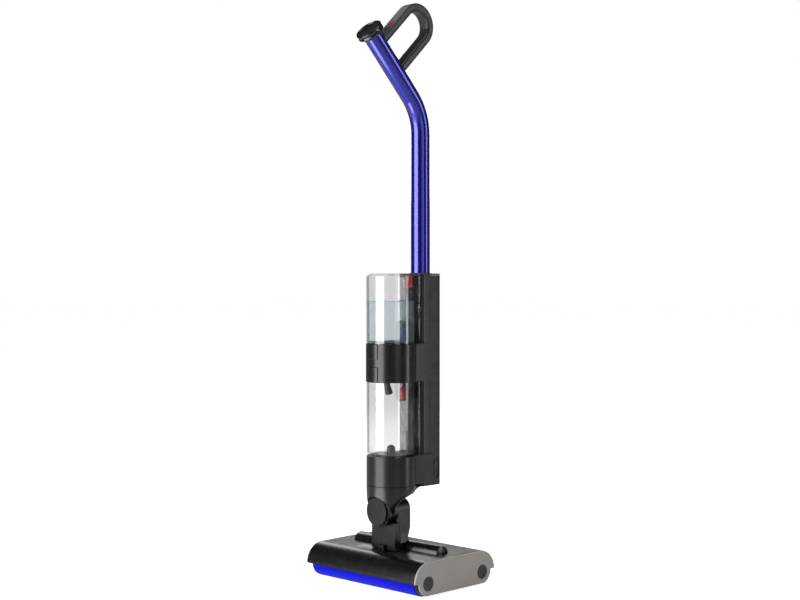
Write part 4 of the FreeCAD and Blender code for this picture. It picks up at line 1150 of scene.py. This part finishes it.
def dress_cad_nodes():
    """Every CAD node that still shows gets its slot's material and smooth shading."""
    for row in frame["record"]["subparts"]:
        node = frame["nodes"][row["node"]]
        node.data.materials.clear()
        node.data.materials.append(materials[row["material_slot"]])
        smooth(node, 30)


def stage():
    """A white studio floor. It is lit from within for the camera only, so it fades into the backdrop."""
    bpy.ops.mesh.primitive_plane_add(size=60)
    floor = bpy.context.object
    floor.name = "studio_floor"
    shader = Shader("studio_floor", (0.86, 0.86, 0.86), 0.16, Specular_IOR_Level=0.35)
    shader.bsdf.inputs["Emission Color"].default_value = (1, 1, 1, 1)
    shader.vary_roughness(shader.noise(3, 3), 0.13, 0.19)
    camera_level(shader.nodes, shader.links, shader.bsdf.inputs["Emission Strength"], 0.10, 0.93)
    floor.data.materials.append(shader.material)


def camera_level(nodes, links, socket, other, seen):
    """Drives a strength: one level for what the camera sees directly, another for light and reflections."""
    rays = nodes.new("ShaderNodeLightPath")
    level = nodes.new("ShaderNodeMapRange")
    level.inputs["To Min"].default_value = other
    level.inputs["To Max"].default_value = seen
    links.new(rays.outputs["Is Camera Ray"], level.inputs["Value"])
    links.new(level.outputs["Result"], socket)


def area_light(name, place, target, size, watts):
    data = bpy.data.lights.new(name, "AREA")
    data.shape = "RECTANGLE"
    data.size, data.size_y = size
    data.energy = watts
    light = bpy.data.objects.new(name, data)
    light.visible_camera = False
    light.location = place
    light.rotation_euler = (Vector(target) - Vector(place)).to_track_quat("-Z", "Y").to_euler()
    bpy.context.scene.collection.objects.link(light)


def around(azimuth, distance, height):
    """A place on a circle round the machine, from straight in front towards the grey cap's side."""
    angle = math.radians(azimuth)
    return (distance*math.sin(angle), -distance*math.cos(angle), height)


def lights():
    world = bpy.data.worlds.new("studio")
    world.use_nodes = True
    nodes = world.node_tree.nodes
    background = nodes["Background"]
    background.inputs["Color"].default_value = (1, 1, 1, 1)
    camera_level(nodes, world.node_tree.links, background.inputs["Strength"], 0.07, 1.0)
    bpy.context.scene.world = world
    middle = (0, 0, 0.5)
    area_light("front_soft", around(-11, 2.4, 0.95), middle, (2.0, 2.2), 80)
    area_light("rim_strip", around(127, 2.0, 0.9), middle, (0.45, 2.0), 10)
    area_light("side_fill", around(75, 2.6, 1.0), middle, (1.2, 1.6), 6)
    area_light("back_top", around(225, 3.0, 1.5), (0, 0, 0.1), (3.2, 1.2), 30)
    area_light("floor_bounce", (-0.1, -0.78, 0.01), (-0.1, -0.78, 1), (0.6, 0.6), 5)
    area_light("top_soft", (0.3, -0.5, 3.0), (0, 0, 0.2), (1.2, 1.2), 12)


def camera():
    """The viewing angle: level, from the front right, with the horizon above the middle."""
    azimuth = math.radians(44.7)
    distance = 2.725
    data = bpy.data.cameras.new("camera")
    data.lens = 61.9
    data.sensor_width = 36
    data.shift_y = -0.025
    thing = bpy.data.objects.new("camera", data)
    thing.location = (distance*math.sin(azimuth), -distance*math.cos(azimuth), 0.593)
    thing.rotation_euler = (math.radians(90), 0, azimuth)
    bpy.context.scene.collection.objects.link(thing)
    bpy.context.scene.camera = thing
    bpy.context.scene.view_settings.view_transform = "Standard"


dress_cad_nodes()
stage()
lights()
camera()
bpy.context.view_layer.update()
